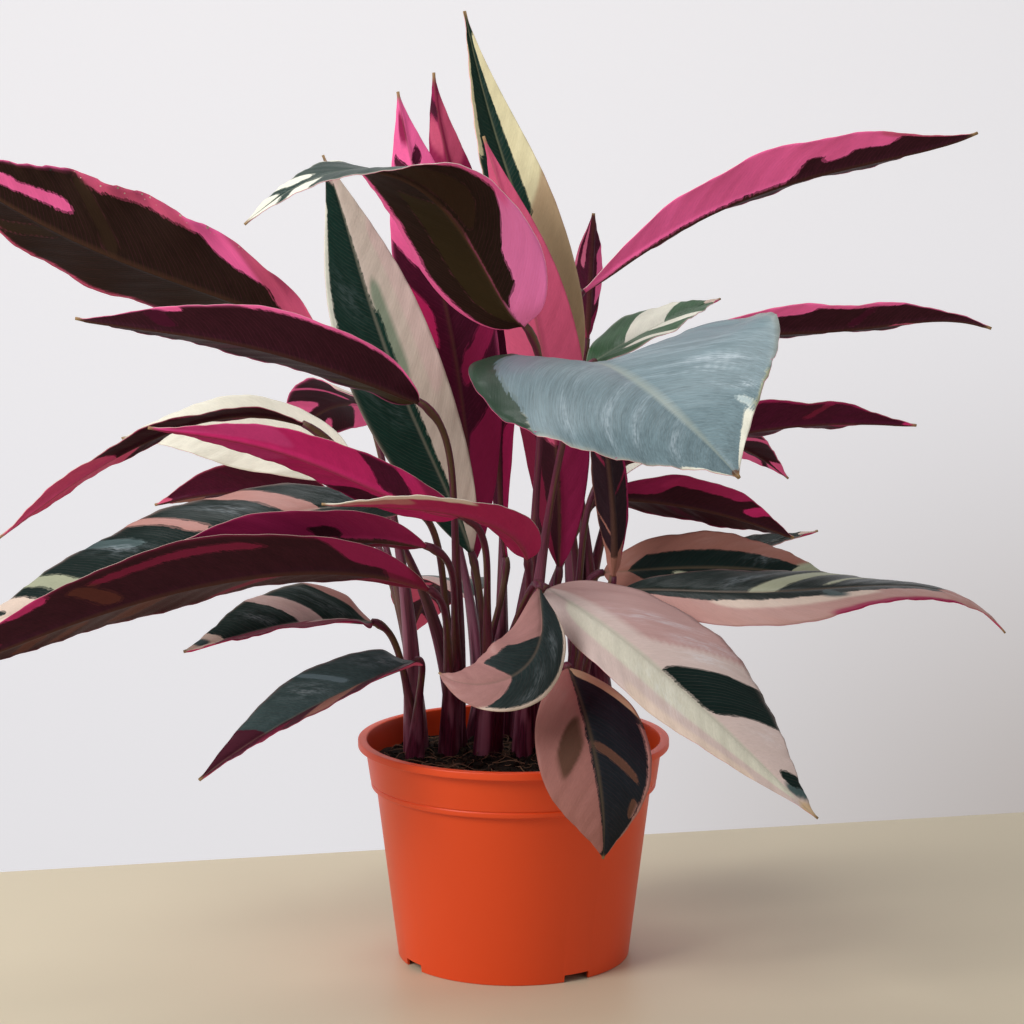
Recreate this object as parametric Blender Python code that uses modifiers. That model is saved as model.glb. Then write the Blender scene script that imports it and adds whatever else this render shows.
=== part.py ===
"""A potted stromanthe: long patterned leaf blades on sheathed stalks, in soil, in a plastic nursery pot.

Metres, +Z up. The origin is the middle of the pot's base, and -Y is the side that faces the viewer.
"""

import math
from collections import namedtuple

import bmesh
import bpy
import numpy as np
from mathutils import Matrix, Vector

MM = 0.001
GAP = 0.3 * MM

# The pot, a common 19 cm nursery container
POT_HEIGHT = 135 * MM
LIP_RADIUS = 95 * MM
LIP_HEIGHT = 4.5 * MM
BAND_TOP_RADIUS = 90.5 * MM
BAND_FOOT_RADIUS = 87 * MM
BAND_FOOT_HEIGHT = 106 * MM
WALL_TOP_RADIUS = 84 * MM
BASE_RADIUS = 71 * MM
WALL = 1.6 * MM
FLOOR = 2 * MM
GROOVE = 0.6 * MM
POT_STEPS = 40

# Its foot: a flat middle that carries the weight, a raised channel round it, and notches that let the water out
MIDDLE_RADIUS = 44 * MM
CHANNEL_HEIGHT = 6 * MM
CHANNEL_SLOPE = 3 * MM
NOTCH_COUNT = 4
NOTCH_WIDTH = 17 * MM
NOTCH_HEIGHT = 4.5 * MM
NOTCH_TURN = math.radians(32)
DRAIN_COUNT = 8
DRAIN_RADIUS = 4 * MM
DRAIN_CIRCLE = 57 * MM

# The soil, and the rhizome that each shoot grows from in a plain hole of it
SOIL_TOP = 121 * MM
SOIL_BUMP = 1.5 * MM
SOIL_RINGS = 5
SOIL_STEPS = 26
RHIZOME_WIDTH = 19 * MM
RHIZOME_FOOT = 90 * MM
RHIZOME_TOP = 117 * MM
RHIZOME_STEPS = 16

# The stalks: a wide sheath at the foot, then a slim round neck
STALK_FOOT_HEIGHT = 100 * MM
STALK_SPACING = 5.5 * MM
SHEATH_RADIUS = 6.2 * MM
NECK_RADIUS = 2.1 * MM
STALK_POINTS = 7
STALK_END = 3 * MM

# The blades
RIB_THICKNESS = 2.4 * MM
MARGIN_SHARE = 0.33
NECK_WIDTH = 3.4 * MM
TIP_WIDTH = 1.6 * MM
BLADE_ROWS = 12
BLADE_COLUMNS = 4
SPINE_SAMPLES = 200

# Each shoot is a short fan of stalks, with its foot at (x, y) in mm and its fan turned by an angle in degrees.
SHOOTS = {
    "left": ((-60, 18), 85),
    "left_inner": ((-37, 28), 75),
    "middle": ((-14, 18), 70),
    "middle_back": ((-8, 60), 0),
    "right_inner": ((8, 16), 75),
    "right": ((34, 4), 75),
    "right_back": ((46, 46), -45),
}

# A leaf: its shoot, the spine of its blade from the neck to the tip in mm, its full width in mm, the way its
# upper side looks at the neck and at the tip, the fold of its halves up from the spine and the droop of their
# margins in degrees, the share of its length where it is widest, its margin waves (height in mm, count), how
# wide its left and right halves are, and its place in the fan.
Leaf = namedtuple(
    "Leaf",
    "name shoot spine width faces tip_faces fold droop widest waves halves rank",
)

UP = (0.0, -0.1, 1.0)

LEAVES = [
    Leaf("blade_spire", "right_back", [(28, 28, 340), (20, 42, 400), (0, 55, 465), (-17, 65, 520), (-30, 70, 574)],
         46, (0.35, -1, 0.1), (0.3, -1, 0.1), 18, -8, 0.36, (1, 2), (1, 1), 0),
    Leaf("blade_rosy_spire", "right_inner", [(28, 16, 238), (26, 14, 311), (15, 14, 383), (0, 21, 442), (-18, 35, 498)],
         46, (0.1, 1, 0), (0.2, 1, 0), 12, 0, 0.45, (1, 2), (1, 1), 1),
    Leaf("blade_arch", "right_inner", [(6, -35, 390), (-30, -68, 447), (-72, -92, 480), (-112, -112, 476), (-148, -125, 452)],
         80, (0.25, 0.9, 0.35), (-0.1, -0.35, 1), 8, 10, 0.36, (2, 3), (1, 1), -1),
    Leaf("blade_flag_left", "middle", [(-24, 25, 238), (-29, 38, 313), (-40, 48, 386), (-57, 58, 459), (-71, 65, 525)],
         58, (-0.05, 1, 0), (0, 1, 0), 14, 0, 0.52, (1, 2), (1, 1), 1),
    Leaf("blade_flag_right", "middle_back", [(-5, 60, 236), (-10, 75, 309), (-20, 88, 396), (-38, 96, 470), (-50, 102, 537)],
         36, (0.1, 1, 0), (0, 1, 0), 18, 0, 0.6, (1, 2), (1, 1), -3),
    Leaf("blade_green_flag", "middle", [(-26, 14, 247), (-48, 12, 301), (-73, 12, 360), (-94, 20, 422), (-115, 30, 487)],
         58, (0.1, -1, 0.1), (0.2, -1, 0.2), 12, 10, 0.48, (1.5, 2), (1, 1), -1),
    Leaf("blade_upper_left", "left", [(-118, 60, 372), (-184, 50, 402), (-246, 35, 427), (-300, 20, 456), (-352, 0, 494)],
         84, (0, 0.85, 0.5), (0, 0.85, 0.5), 28, 8, 0.5, (2.5, 5), (1, 1), 0),
    Leaf("blade_second_left", "left_inner", [(-56, -45, 346), (-106, -65, 367), (-156, -75, 382), (-207, -80, 391), (-249, -80, 397)],
         52, (0, 0.7, 0.7), (0, 0.7, 0.7), 30, 8, 0.4, (1, 3), (1, 1), 1),
    Leaf("blade_ribbon", "left_inner", [(-130, 40, 323), (-168, 20, 331), (-212, -5, 322), (-255, -25, 300), (-303, -45, 265)],
         26, (0, 0.5, 0.85), (0, 0.6, 0.8), 10, 10, 0.5, (1.5, 3), (1, 1), 2),
    Leaf("blade_magenta_left", "middle", [(-32, -75, 283), (-73, -90, 298), (-121, -100, 320), (-165, -105, 332), (-205, -110, 338)],
         38, (0, 0.75, 0.65), (0, 0.75, 0.65), 20, 12, 0.36, (1, 2), (1, 1), -2),
    Leaf("blade_cream_back", "left", [(-105, 90, 284), (-140, 100, 303), (-192, 105, 312), (-251, 105, 306)],
         54, (0, -0.8, 0.6), (0, -0.8, 0.6), 10, 20, 0.4, (2, 2), (1, 1), 2),
    Leaf("blade_maroon_back", "left", [(-108, 112, 258), (-172, 130, 268), (-235, 140, 258)],
         44, (0, 0.75, 0.65), (0, 0.75, 0.65), 25, 10, 0.45, (1, 2), (1, 1), 3),
    Leaf("blade_dark_left", "left_inner", [(-62, -35, 282), (-112, -60, 285), (-174, -80, 273), (-245, -95, 247), (-322, -110, 217)],
         66, (0, -0.45, 0.9), (0, -0.6, 0.8), 10, 20, 0.45, (1.5, 4), (1, 1), -1),
    Leaf("blade_crimson_left", "left_inner", [(-51, -80, 266), (-104, -105, 273), (-160, -125, 266), (-205, -135, 253), (-250, -145, 236)],
         46, (0, 0.75, 0.65), (0, 0.75, 0.65), 26, 10, 0.45, (1.5, 3), (1, 1), 0),
    Leaf("blade_lower_left", "left_inner", [(-50, -80, 241), (-105, -120, 258), (-165, -145, 256), (-230, -165, 241), (-322, -180, 208)],
         58, (0, 0.75, 0.65), (0, 0.75, 0.65), 26, 10, 0.5, (1.5, 3), (1, 1), -2),
    Leaf("blade_small_left", "left", [(-85, -20, 210), (-115, -30, 213), (-155, -36, 207), (-196, -40, 196)],
         56, (0, -0.35, 1), (0, -0.35, 1), 35, 20, 0.4, (1, 3), (1, 1), -1),
    Leaf("blade_trailing_left", "left", [(-58, -50, 192), (-84, -80, 187), (-122, -100, 172), (-178, -125, 139)],
         44, (0, -0.25, 1), (0, -0.5, 0.9), 38, 15, 0.38, (1, 2), (1, 1), -2),
    Leaf("blade_curled", "middle", [(15, -88, 242), (16, -109, 224), (8, -126, 206), (-14, -136, 197), (-42, -130, 202)],
         50, (0.3, -0.9, 0.4), (0, -0.8, 0.6), 6, 30, 0.55, (2, 2), (0.8, 0.92), 0),
    Leaf("blade_pale_right", "right", [(20, -52, 236), (60, -95, 216), (108, -132, 180), (168, -165, 127)],
         84, (0.1, -0.65, 0.75), (0.3, -0.8, 0.5), 4, 22, 0.4, (1.5, 3), (1.14, 0.58), -2),
    Leaf("blade_hanging", "right", [(32, -70, 192), (41, -105, 172), (49, -125, 136), (51, -122, 92)],
         66, (0.1, -0.7, 0.7), (0.1, -1, 0.1), 6, 20, 0.5, (1, 2), (1, 1), -3),
    Leaf("blade_striped_right", "right", [(64, -30, 231), (121, -50, 234), (190, -70, 240), (245, -85, 241), (282, -95, 218)],
         66, (0, -0.6, 0.8), (0, 0.1, 1), 4, 25, 0.5, (1, 3), (1, 1), -1),
    Leaf("blade_dark_right", "right", [(55, 10, 235), (102, 10, 238), (151, 15, 236), (204, 20, 225)],
         66, (0, -0.6, 0.8), (0, -0.6, 0.8), 6, 20, 0.42, (1, 3), (1, 1), 1),
    Leaf("blade_maroon_right", "right_back", [(56, 49, 276), (104, 58, 270), (142, 60, 261), (176, 65, 248)],
         42, (0, 0.75, 0.65), (0, 0.75, 0.65), 22, 10, 0.45, (1, 3), (1, 1), 1),
    Leaf("blade_slip_right", "right_back", [(82, 85, 225), (139, 98, 234), (196, 108, 246)],
         30, UP, UP, 15, 10, 0.5, (1, 2), (1, 1), 2),
    Leaf("blade_silver", "right_inner", [(46, -80, 372), (66, -140, 368), (92, -188, 350), (118, -218, 324)],
         164, (0, -0.33, 1), (-0.15, -0.6, 0.8), 16, 6, 0.42, (2, 3), (1.03, 1.18), 0),
    Leaf("blade_green_back", "right_back", [(46, 60, 357), (84, 82, 377), (131, 100, 396)],
         56, UP, UP, 15, 15, 0.5, (1, 3), (1, 1), 3),
    Leaf("blade_top_right", "right_back", [(43, 50, 404), (86, 60, 432), (148, 70, 462), (212, 75, 480), (288, 80, 500)],
         50, (0, 0.6, 0.8), (0, 0.6, 0.8), 32, 8, 0.55, (1.5, 4), (1, 1), -1),
    Leaf("blade_long_right", "right_back", [(112, 30, 371), (163, 35, 380), (218, 40, 383), (255, 40, 387), (292, 35, 382)],
         38, (0, 0.6, 0.8), (0, 0.6, 0.8), 28, 8, 0.4, (1.5, 3), (1, 1), -2),
    Leaf("blade_mid_right", "right", [(63, 20, 300), (114, 30, 314), (176, 35, 323), (248, 40, 322)],
         40, (0, 0.6, 0.8), (0, 0.6, 0.8), 26, 10, 0.5, (2, 4), (1, 1), 2),
    Leaf("blade_bud", "middle_back", [(46, 82, 372), (48, 84, 412), (50, 86, 450)],
         22, (-0.2, 1, 0), (-0.2, 1, 0), 40, 10, 0.5, (0.5, 2), (1, 1), 1),
    Leaf("blade_sliver", "right_inner", [(8, -60, 256), (-12, -92, 281), (-52, -112, 293), (-107, -125, 297)],
         34, (0, 0.4, 1), (0, 0.3, 1), 24, 12, 0.36, (1, 2), (1, 1), -2),
    Leaf("blade_rolled", "right", [(60, -8, 236), (60, -10, 270), (56, -8, 310), (51, -4, 352)],
         28, (0, 1, 0), (0, 1, 0), 50, 15, 0.5, (0.5, 2), (1, 1), 0),
    Leaf("blade_rear_left", "middle_back", [(-60, 140, 300), (-95, 190, 318), (-130, 235, 310), (-160, 270, 275)],
         70, (0.2, 0.3, 1), (0.3, 0.6, 0.7), 12, 20, 0.45, (1.5, 3), (1, 1), -2),
    Leaf("blade_rear_middle", "middle_back", [(-5, 130, 340), (-2, 175, 365), (4, 225, 370), (12, 275, 345)],
         72, (0, 0.3, 1), (0, 0.7, 0.7), 12, 20, 0.45, (1.5, 3), (1, 1), 0),
    Leaf("blade_rear_right", "middle_back", [(60, 140, 270), (100, 180, 292), (145, 215, 290), (190, 240, 262)],
         68, (0, 0.3, 1), (0.3, 0.6, 0.7), 12, 20, 0.45, (1.5, 3), (1, 1), 2),
    Leaf("blade_rear_low", "middle_back", [(-30, 120, 200), (-45, 165, 205), (-60, 205, 185), (-72, 235, 150)],
         60, (0, 0.3, 1), (-0.2, 0.8, 0.6), 10, 20, 0.45, (1.5, 3), (1, 1), -1),
]


def clear_scene():
    for obj in list(bpy.data.objects):
        bpy.data.objects.remove(obj)


def new_collection(name):
    collection = bpy.data.collections.new(name)
    bpy.context.scene.collection.children.link(collection)
    return collection


def plain_material(name, colour, roughness):
    material = bpy.data.materials.new(name)
    material.use_nodes = True
    shader = material.node_tree.nodes["Principled BSDF"]
    shader.inputs["Base Color"].default_value = (*colour, 1)
    shader.inputs["Roughness"].default_value = roughness
    return material


def mesh_object(name, mesh, collection, material=None):
    obj = bpy.data.objects.new(name, mesh)
    collection.objects.link(obj)
    if material:
        mesh.materials.append(material)
    return obj


def unit(vectors):
    return vectors / np.linalg.norm(vectors, axis=-1, keepdims=True)


def smooth_step(values):
    values = np.clip(values, 0, 1)
    return values * values * (3 - 2 * values)


def spine_curve(points_mm, count):
    """Points and directions at equal steps along the polynomial that runs through the spine's points."""
    points = np.array(points_mm, float) * MM
    chords = np.linalg.norm(np.diff(points, axis=0), axis=1)
    knots = np.concatenate([[0], np.cumsum(chords)]) / chords.sum()
    order = len(points) - 1
    fine = np.linspace(0, 1, SPINE_SAMPLES)
    path = np.stack([np.polyval(np.polyfit(knots, axis, order), fine) for axis in points.T], axis=1)
    run = np.concatenate([[0], np.cumsum(np.linalg.norm(np.diff(path, axis=0), axis=1))])
    steps = np.linspace(0, run[-1], count)
    places = np.stack([np.interp(steps, run, axis) for axis in path.T], axis=1)
    directions = unit(np.gradient(places, axis=0))
    return places, directions, run[-1]


def outline(along, widest):
    """The blade's half width as a share of its widest: a sine whose top is moved to the widest place,
    blunt at the neck and drawn out at the tip."""
    turned = along ** (math.log(0.5) / math.log(widest))
    blunt = 0.72 + 0.42 * smooth_step((along - widest) / (1 - widest))
    return np.sin(np.pi * np.clip(turned, 0, 1)) ** blunt


def blade_surface(leaf, rows, columns):
    """The blade's upper surface as an array of rows by columns of points, and its normals along the spine.

    A row is an arc on each side of the spine: it leaves at the fold angle and bends down by the droop
    angle at the margin. The margins carry a sine wave that fades at both ends."""
    places, ahead, length = spine_curve(leaf.spine, rows)
    along = np.linspace(0, 1, rows)[:, None]
    looks = np.array(leaf.faces) * (1 - smooth_step(along)) + np.array(leaf.tip_faces) * smooth_step(along)
    normal = unit(looks - (looks * ahead).sum(1, keepdims=True) * ahead)
    side = np.cross(ahead, normal)
    half = np.maximum(
        leaf.width * MM / 2 * outline(along, leaf.widest),
        (NECK_WIDTH * (1 - along) + TIP_WIDTH * along) / 2,
    )
    across = np.linspace(-1, 1, columns)[None, :]
    fade = smooth_step(along / 0.12)
    fold = np.radians(leaf.fold) * fade
    droop = np.radians(leaf.droop) * fade + 1e-6
    reach = np.abs(across)
    half = half * np.where(across < 0, leaf.halves[0], leaf.halves[1])
    out = half * (np.sin(fold) - np.sin(fold - droop * reach)) / droop
    lift = half * (np.cos(fold - droop * reach) - np.cos(fold)) / droop
    height, count = leaf.waves
    ripple = np.sin(2 * np.pi * count * along + np.sign(across) * 1.3) * np.sin(np.pi * along)
    lift = lift + height * MM * reach**2 * ripple
    points = places[:, None] + side[:, None] * (out * np.sign(across))[..., None] + normal[:, None] * lift[..., None]
    return points, normal, ahead


def make_blade(leaf, collection, material):
    """A thin closed sheet: the surface as a grid of triangles, thickened downwards, most along the spine."""
    rows, columns = BLADE_ROWS + 1, BLADE_COLUMNS + 1
    points, _, ahead = blade_surface(leaf, rows, columns)
    points = points + ahead[0] * GAP
    grid = bmesh.new()
    bmesh.ops.create_grid(grid, x_segments=BLADE_ROWS, y_segments=BLADE_COLUMNS, size=1)
    grid.verts.ensure_lookup_table()
    for vertex in grid.verts:
        row = round((vertex.co.x + 1) / 2 * BLADE_ROWS)
        column = round((1 - vertex.co.y) / 2 * BLADE_COLUMNS)
        vertex.co = points[row, column]
    bmesh.ops.triangulate(grid, faces=grid.faces)
    mesh = bpy.data.meshes.new(leaf.name)
    grid.to_mesh(mesh)
    grid.free()
    obj = mesh_object(leaf.name, mesh, collection, material)
    rib = obj.vertex_groups.new(name="rib")
    spine_points = points[:, BLADE_COLUMNS // 2]
    for vertex in mesh.vertices:
        away = np.linalg.norm(spine_points - np.array(vertex.co), axis=1).min()
        rib.add([vertex.index], 1.0 if away < 1e-6 else MARGIN_SHARE, "REPLACE")
    shell = obj.modifiers.new("thickness", "SOLIDIFY")
    shell.thickness = RIB_THICKNESS
    shell.offset = -1
    shell.vertex_group = "rib"
    return obj


def stalk_points(leaf):
    """A cubic from the foot in the soil, leaving upwards, to the neck, arriving along the blade's spine."""
    (x, y), turn = SHOOTS[leaf.shoot]
    turn = math.radians(turn)
    fan = Vector((math.cos(turn), math.sin(turn), 0)) * leaf.rank * STALK_SPACING
    foot = Vector((x * MM, y * MM, STALK_FOOT_HEIGHT)) + fan
    places, ahead, _ = spine_curve(leaf.spine, SPINE_SAMPLES)
    neck = Vector(places[0])
    arrive = Vector(ahead[0])
    end = neck - arrive * STALK_END
    reach = (end - foot).length
    rise = foot + Vector((0, 0, 1)) * reach * 0.5
    lead = end - arrive * reach * 0.12
    found = []
    for t in np.linspace(0, 1, STALK_POINTS):
        found.append((1 - t) ** 3 * foot + 3 * (1 - t) ** 2 * t * rise + 3 * (1 - t) * t**2 * lead + t**3 * end)
    return found + [neck]


def make_stalk(leaf, collection):
    """A round bar along the stalk's points, wide at the foot, as a closed mesh."""
    curve = bpy.data.curves.new("stalk", "CURVE")
    curve.dimensions = "3D"
    curve.bevel_depth = 1
    curve.bevel_resolution = 1
    curve.use_fill_caps = True
    spline = curve.splines.new("POLY")
    points = stalk_points(leaf)
    spline.points.add(len(points) - 1)
    for i, (point, place) in enumerate(zip(spline.points, points)):
        share = i / (len(points) - 1)
        point.co = (*place, 1)
        point.radius = NECK_RADIUS + (SHEATH_RADIUS - NECK_RADIUS) * (1 - smooth_step(share / 0.7))
    tube = bpy.data.objects.new("stalk", curve)
    collection.objects.link(tube)
    bpy.context.view_layer.update()
    mesh = bpy.data.meshes.new_from_object(tube.evaluated_get(bpy.context.evaluated_depsgraph_get()))
    welded = bmesh.new()
    welded.from_mesh(mesh)
    bmesh.ops.remove_doubles(welded, verts=welded.verts, dist=1e-5)
    bmesh.ops.recalc_face_normals(welded, faces=welded.faces)
    welded.to_mesh(mesh)
    welded.free()
    mesh_object("stalk_solid", mesh, collection)
    bpy.data.objects.remove(tube)


def oval_bar(name, half_length, half_width, low, high, place, turn, collection):
    """An upright bar of oval section, turned and placed."""
    bar = bmesh.new()
    bmesh.ops.create_cone(
        bar, cap_ends=True, segments=RHIZOME_STEPS, radius1=1, radius2=1, depth=high - low
    )
    bmesh.ops.scale(bar, verts=bar.verts, vec=(half_length, half_width, 1))
    bmesh.ops.rotate(bar, verts=bar.verts, cent=(0, 0, 0), matrix=Matrix.Rotation(turn, 3, "Z"))
    bmesh.ops.translate(bar, verts=bar.verts, vec=(*place, (low + high) / 2))
    mesh = bpy.data.meshes.new(name)
    bar.to_mesh(mesh)
    bar.free()
    return mesh_object(name, mesh, collection)


def rhizome_shape(shoot):
    """Half the length of the shoot's rhizome, its place and its turn."""
    (x, y), turn = SHOOTS[shoot]
    farthest = max(abs(leaf.rank) for leaf in LEAVES if leaf.shoot == shoot)
    half_length = farthest * STALK_SPACING + RHIZOME_WIDTH / 2 + 4.5 * MM
    return half_length, (x * MM, y * MM), math.radians(turn)


def join_all(body, pieces, operation, solver):
    """One Boolean of the body with everything in the collection, applied, and the collection's objects removed."""
    joint = body.modifiers.new("join", "BOOLEAN")
    joint.operation = operation
    joint.operand_type = "COLLECTION"
    joint.collection = pieces
    joint.solver = solver
    bpy.context.view_layer.update()
    joined = bpy.data.meshes.new_from_object(body.evaluated_get(bpy.context.evaluated_depsgraph_get()))
    body.modifiers.clear()
    body.data = joined
    for obj in list(pieces.objects):
        bpy.data.objects.remove(obj)


def make_shoot(shoot, collection, material):
    """The stalks of one shoot and the rhizome that they grow from, joined by one union."""
    pieces = new_collection("stalks of " + shoot)
    for leaf in LEAVES:
        if leaf.shoot == shoot:
            make_stalk(leaf, pieces)
    half_length, place, turn = rhizome_shape(shoot)
    body = oval_bar(
        "shoot_" + shoot, half_length, RHIZOME_WIDTH / 2, RHIZOME_FOOT, RHIZOME_TOP, place, turn, collection
    )
    body.data.materials.append(material)
    join_all(body, pieces, "UNION", "MANIFOLD")


def turned(name, profile, steps, collection, material):
    """A body turned about Z from a profile of (radius, height) points that starts and ends on the axis."""
    mesh = bpy.data.meshes.new(name)
    mesh.from_pydata([(r, 0, z) for r, z in profile], [(i, i + 1) for i in range(len(profile) - 1)], [])
    obj = mesh_object(name, mesh, collection, material)
    screw = obj.modifiers.new("turn", "SCREW")
    screw.axis = "Z"
    screw.steps = steps
    screw.render_steps = steps
    screw.use_merge_vertices = True
    screw.merge_threshold = 1e-5
    screw.use_normal_calculate = True
    return obj


def wall_radius(height):
    """The outer radius of the tapered wall below the band."""
    return BASE_RADIUS + (WALL_TOP_RADIUS - BASE_RADIUS) * height / BAND_FOOT_HEIGHT


def make_pot(collection, material):
    """The wall with its lip, its band and a floor, less the water notches and the drain holes."""
    floor_top = CHANNEL_HEIGHT + FLOOR
    channel_in = MIDDLE_RADIUS + CHANNEL_SLOPE
    channel_out = wall_radius(CHANNEL_HEIGHT) - WALL
    lip_foot = POT_HEIGHT - LIP_HEIGHT
    groove_low = BAND_FOOT_HEIGHT + 3 * MM
    profile = [
        (0, 0),
        (MIDDLE_RADIUS, 0),
        (channel_in, CHANNEL_HEIGHT),
        (channel_out, CHANNEL_HEIGHT),
        (BASE_RADIUS - WALL, 0),
        (BASE_RADIUS, 0),
        (WALL_TOP_RADIUS, BAND_FOOT_HEIGHT),
        (BAND_FOOT_RADIUS, BAND_FOOT_HEIGHT),
        (BAND_FOOT_RADIUS + GROOVE / 2, groove_low),
        (BAND_FOOT_RADIUS - GROOVE / 2, groove_low + GROOVE),
        (BAND_FOOT_RADIUS + GROOVE, groove_low + 2 * GROOVE),
        (BAND_TOP_RADIUS, lip_foot),
        (LIP_RADIUS, lip_foot),
        (LIP_RADIUS, POT_HEIGHT),
        (BAND_TOP_RADIUS - WALL / 2, POT_HEIGHT),
        (BAND_TOP_RADIUS - WALL, lip_foot),
        (BAND_FOOT_RADIUS - WALL, BAND_FOOT_HEIGHT + WALL),
        (WALL_TOP_RADIUS - WALL, BAND_FOOT_HEIGHT + WALL),
        (wall_radius(floor_top) - WALL, floor_top),
        (channel_in - WALL, floor_top),
        (MIDDLE_RADIUS - WALL, FLOOR),
        (0, FLOOR),
    ]
    pot = turned("pot", profile, POT_STEPS, collection, material)
    cutters = new_collection("pot cutters")
    for i in range(NOTCH_COUNT):
        turn = NOTCH_TURN + i * math.tau / NOTCH_COUNT
        notch = bmesh.new()
        bmesh.ops.create_cube(notch, size=1)
        depth = 14 * MM
        bmesh.ops.scale(notch, verts=notch.verts, vec=(NOTCH_WIDTH, depth, 2 * NOTCH_HEIGHT))
        bmesh.ops.translate(notch, verts=notch.verts, vec=(0, -BASE_RADIUS, 0))
        bmesh.ops.rotate(notch, verts=notch.verts, cent=(0, 0, 0), matrix=Matrix.Rotation(turn, 3, "Z"))
        mesh = bpy.data.meshes.new("notch")
        notch.to_mesh(mesh)
        notch.free()
        mesh_object("notch", mesh, cutters)
    for i in range(DRAIN_COUNT):
        turn = (i + 0.5) * math.tau / DRAIN_COUNT
        place = (DRAIN_CIRCLE * math.cos(turn), DRAIN_CIRCLE * math.sin(turn))
        oval_bar("drain", DRAIN_RADIUS, DRAIN_RADIUS, CHANNEL_HEIGHT - FLOOR, floor_top + FLOOR, place, 0, cutters)
    join_all(pot, cutters, "DIFFERENCE", "EXACT")


def make_soil(collection, material):
    """The soil that fills the pot a hair clear of it, bumpy on top, with a plain hole for each rhizome."""
    floor_top = CHANNEL_HEIGHT + FLOOR + GAP
    ledge = BAND_FOOT_HEIGHT + WALL + GAP
    band_slope = (BAND_TOP_RADIUS - BAND_FOOT_RADIUS) / (POT_HEIGHT - LIP_HEIGHT - BAND_FOOT_HEIGHT - WALL)
    edge = BAND_FOOT_RADIUS - WALL - 2 * GAP + band_slope * (SOIL_TOP - ledge)
    profile = [
        (0, FLOOR + GAP),
        (MIDDLE_RADIUS - WALL - 2 * GAP, FLOOR + GAP),
        (MIDDLE_RADIUS + CHANNEL_SLOPE - WALL - 2 * GAP, floor_top),
        (wall_radius(floor_top) - WALL - 2 * GAP, floor_top),
        (WALL_TOP_RADIUS - WALL - 2 * GAP, ledge),
        (BAND_FOOT_RADIUS - WALL - 2 * GAP, ledge),
    ]
    for ring in range(SOIL_RINGS + 1):
        profile.append((edge * (1 - ring / SOIL_RINGS), SOIL_TOP))
    soil = turned("soil", profile, SOIL_STEPS, collection, material)
    bpy.context.view_layer.update()
    mesh = bpy.data.meshes.new_from_object(soil.evaluated_get(bpy.context.evaluated_depsgraph_get()))
    mesh.flip_normals()
    soil.modifiers.clear()
    soil.data = mesh
    for vertex in mesh.vertices:
        x, y, z = vertex.co
        if z > SOIL_TOP - 0.1 * MM and math.hypot(x, y) < edge * 0.9:
            vertex.co.z += SOIL_BUMP * (1 + math.sin(x / (9 * MM)) * math.sin(y / (11 * MM) + x / (23 * MM)))
    cutters = new_collection("soil cutters")
    for shoot in SHOOTS:
        half_length, place, turn = rhizome_shape(shoot)
        oval_bar(
            "hole",
            half_length + GAP,
            RHIZOME_WIDTH / 2 + GAP,
            RHIZOME_FOOT - GAP,
            SOIL_TOP + 20 * MM,
            place,
            turn,
            cutters,
        )
    join_all(soil, cutters, "DIFFERENCE", "MANIFOLD")


def main():
    clear_scene()
    plant = new_collection("Potted stromanthe")
    make_pot(plant, plain_material("pot_plastic", (0.72, 0.11, 0.02), 0.45))
    make_soil(plant, plain_material("soil", (0.02, 0.014, 0.01), 0.95))
    leaf_pink = plain_material("leaf", (0.45, 0.09, 0.16), 0.4)
    stalk_maroon = plain_material("stalk", (0.12, 0.03, 0.05), 0.5)
    for leaf in LEAVES:
        make_blade(leaf, plant, leaf_pink)
    for shoot in SHOOTS:
        make_shoot(shoot, plant, stalk_maroon)


if __name__ == "__main__":
    main()
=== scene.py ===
"""The dressed look of the potted stromanthe: patterned blades, sheathed stalks, rooty soil and a pot."""

import math
from collections import namedtuple

import bmesh
import bpy
import numpy as np
from mathutils import Matrix, Vector


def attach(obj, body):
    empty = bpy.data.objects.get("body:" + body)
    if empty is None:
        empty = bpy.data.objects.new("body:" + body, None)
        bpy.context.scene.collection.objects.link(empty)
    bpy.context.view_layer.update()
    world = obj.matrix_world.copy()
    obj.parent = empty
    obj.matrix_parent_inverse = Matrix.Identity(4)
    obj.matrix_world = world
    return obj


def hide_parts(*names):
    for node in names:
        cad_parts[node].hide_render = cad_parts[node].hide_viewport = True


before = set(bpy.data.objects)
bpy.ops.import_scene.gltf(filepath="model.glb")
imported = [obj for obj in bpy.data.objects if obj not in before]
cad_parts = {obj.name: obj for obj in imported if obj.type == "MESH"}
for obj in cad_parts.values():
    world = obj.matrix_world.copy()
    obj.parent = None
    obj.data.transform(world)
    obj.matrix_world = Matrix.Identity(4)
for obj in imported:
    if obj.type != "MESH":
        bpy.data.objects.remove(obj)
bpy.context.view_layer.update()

MM = 0.001

# The pot and the soil, as in the part's own source
GAP = 0.3 * MM

POT_HEIGHT = 135 * MM
LIP_RADIUS = 95 * MM
LIP_HEIGHT = 4.5 * MM
BAND_TOP_RADIUS = 90.5 * MM
BAND_FOOT_RADIUS = 87 * MM
BAND_FOOT_HEIGHT = 106 * MM
WALL_TOP_RADIUS = 84 * MM
BASE_RADIUS = 71 * MM
WALL = 1.6 * MM
FLOOR = 2 * MM
GROOVE = 0.6 * MM
EDGE_ROUNDING = 0.7 * MM

# Its foot: a flat middle that carries the weight, a raised channel round it, and notches for the water
MIDDLE_RADIUS = 44 * MM
CHANNEL_HEIGHT = 6 * MM
CHANNEL_SLOPE = 3 * MM
NOTCH_COUNT = 4
NOTCH_WIDTH = 17 * MM
NOTCH_HEIGHT = 4.5 * MM
NOTCH_DEPTH = 14 * MM
NOTCH_TURN = math.radians(32)
DRAIN_COUNT = 8
DRAIN_RADIUS = 4 * MM
DRAIN_CIRCLE = 57 * MM
DRAIN_DEPTH = 6 * MM

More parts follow.
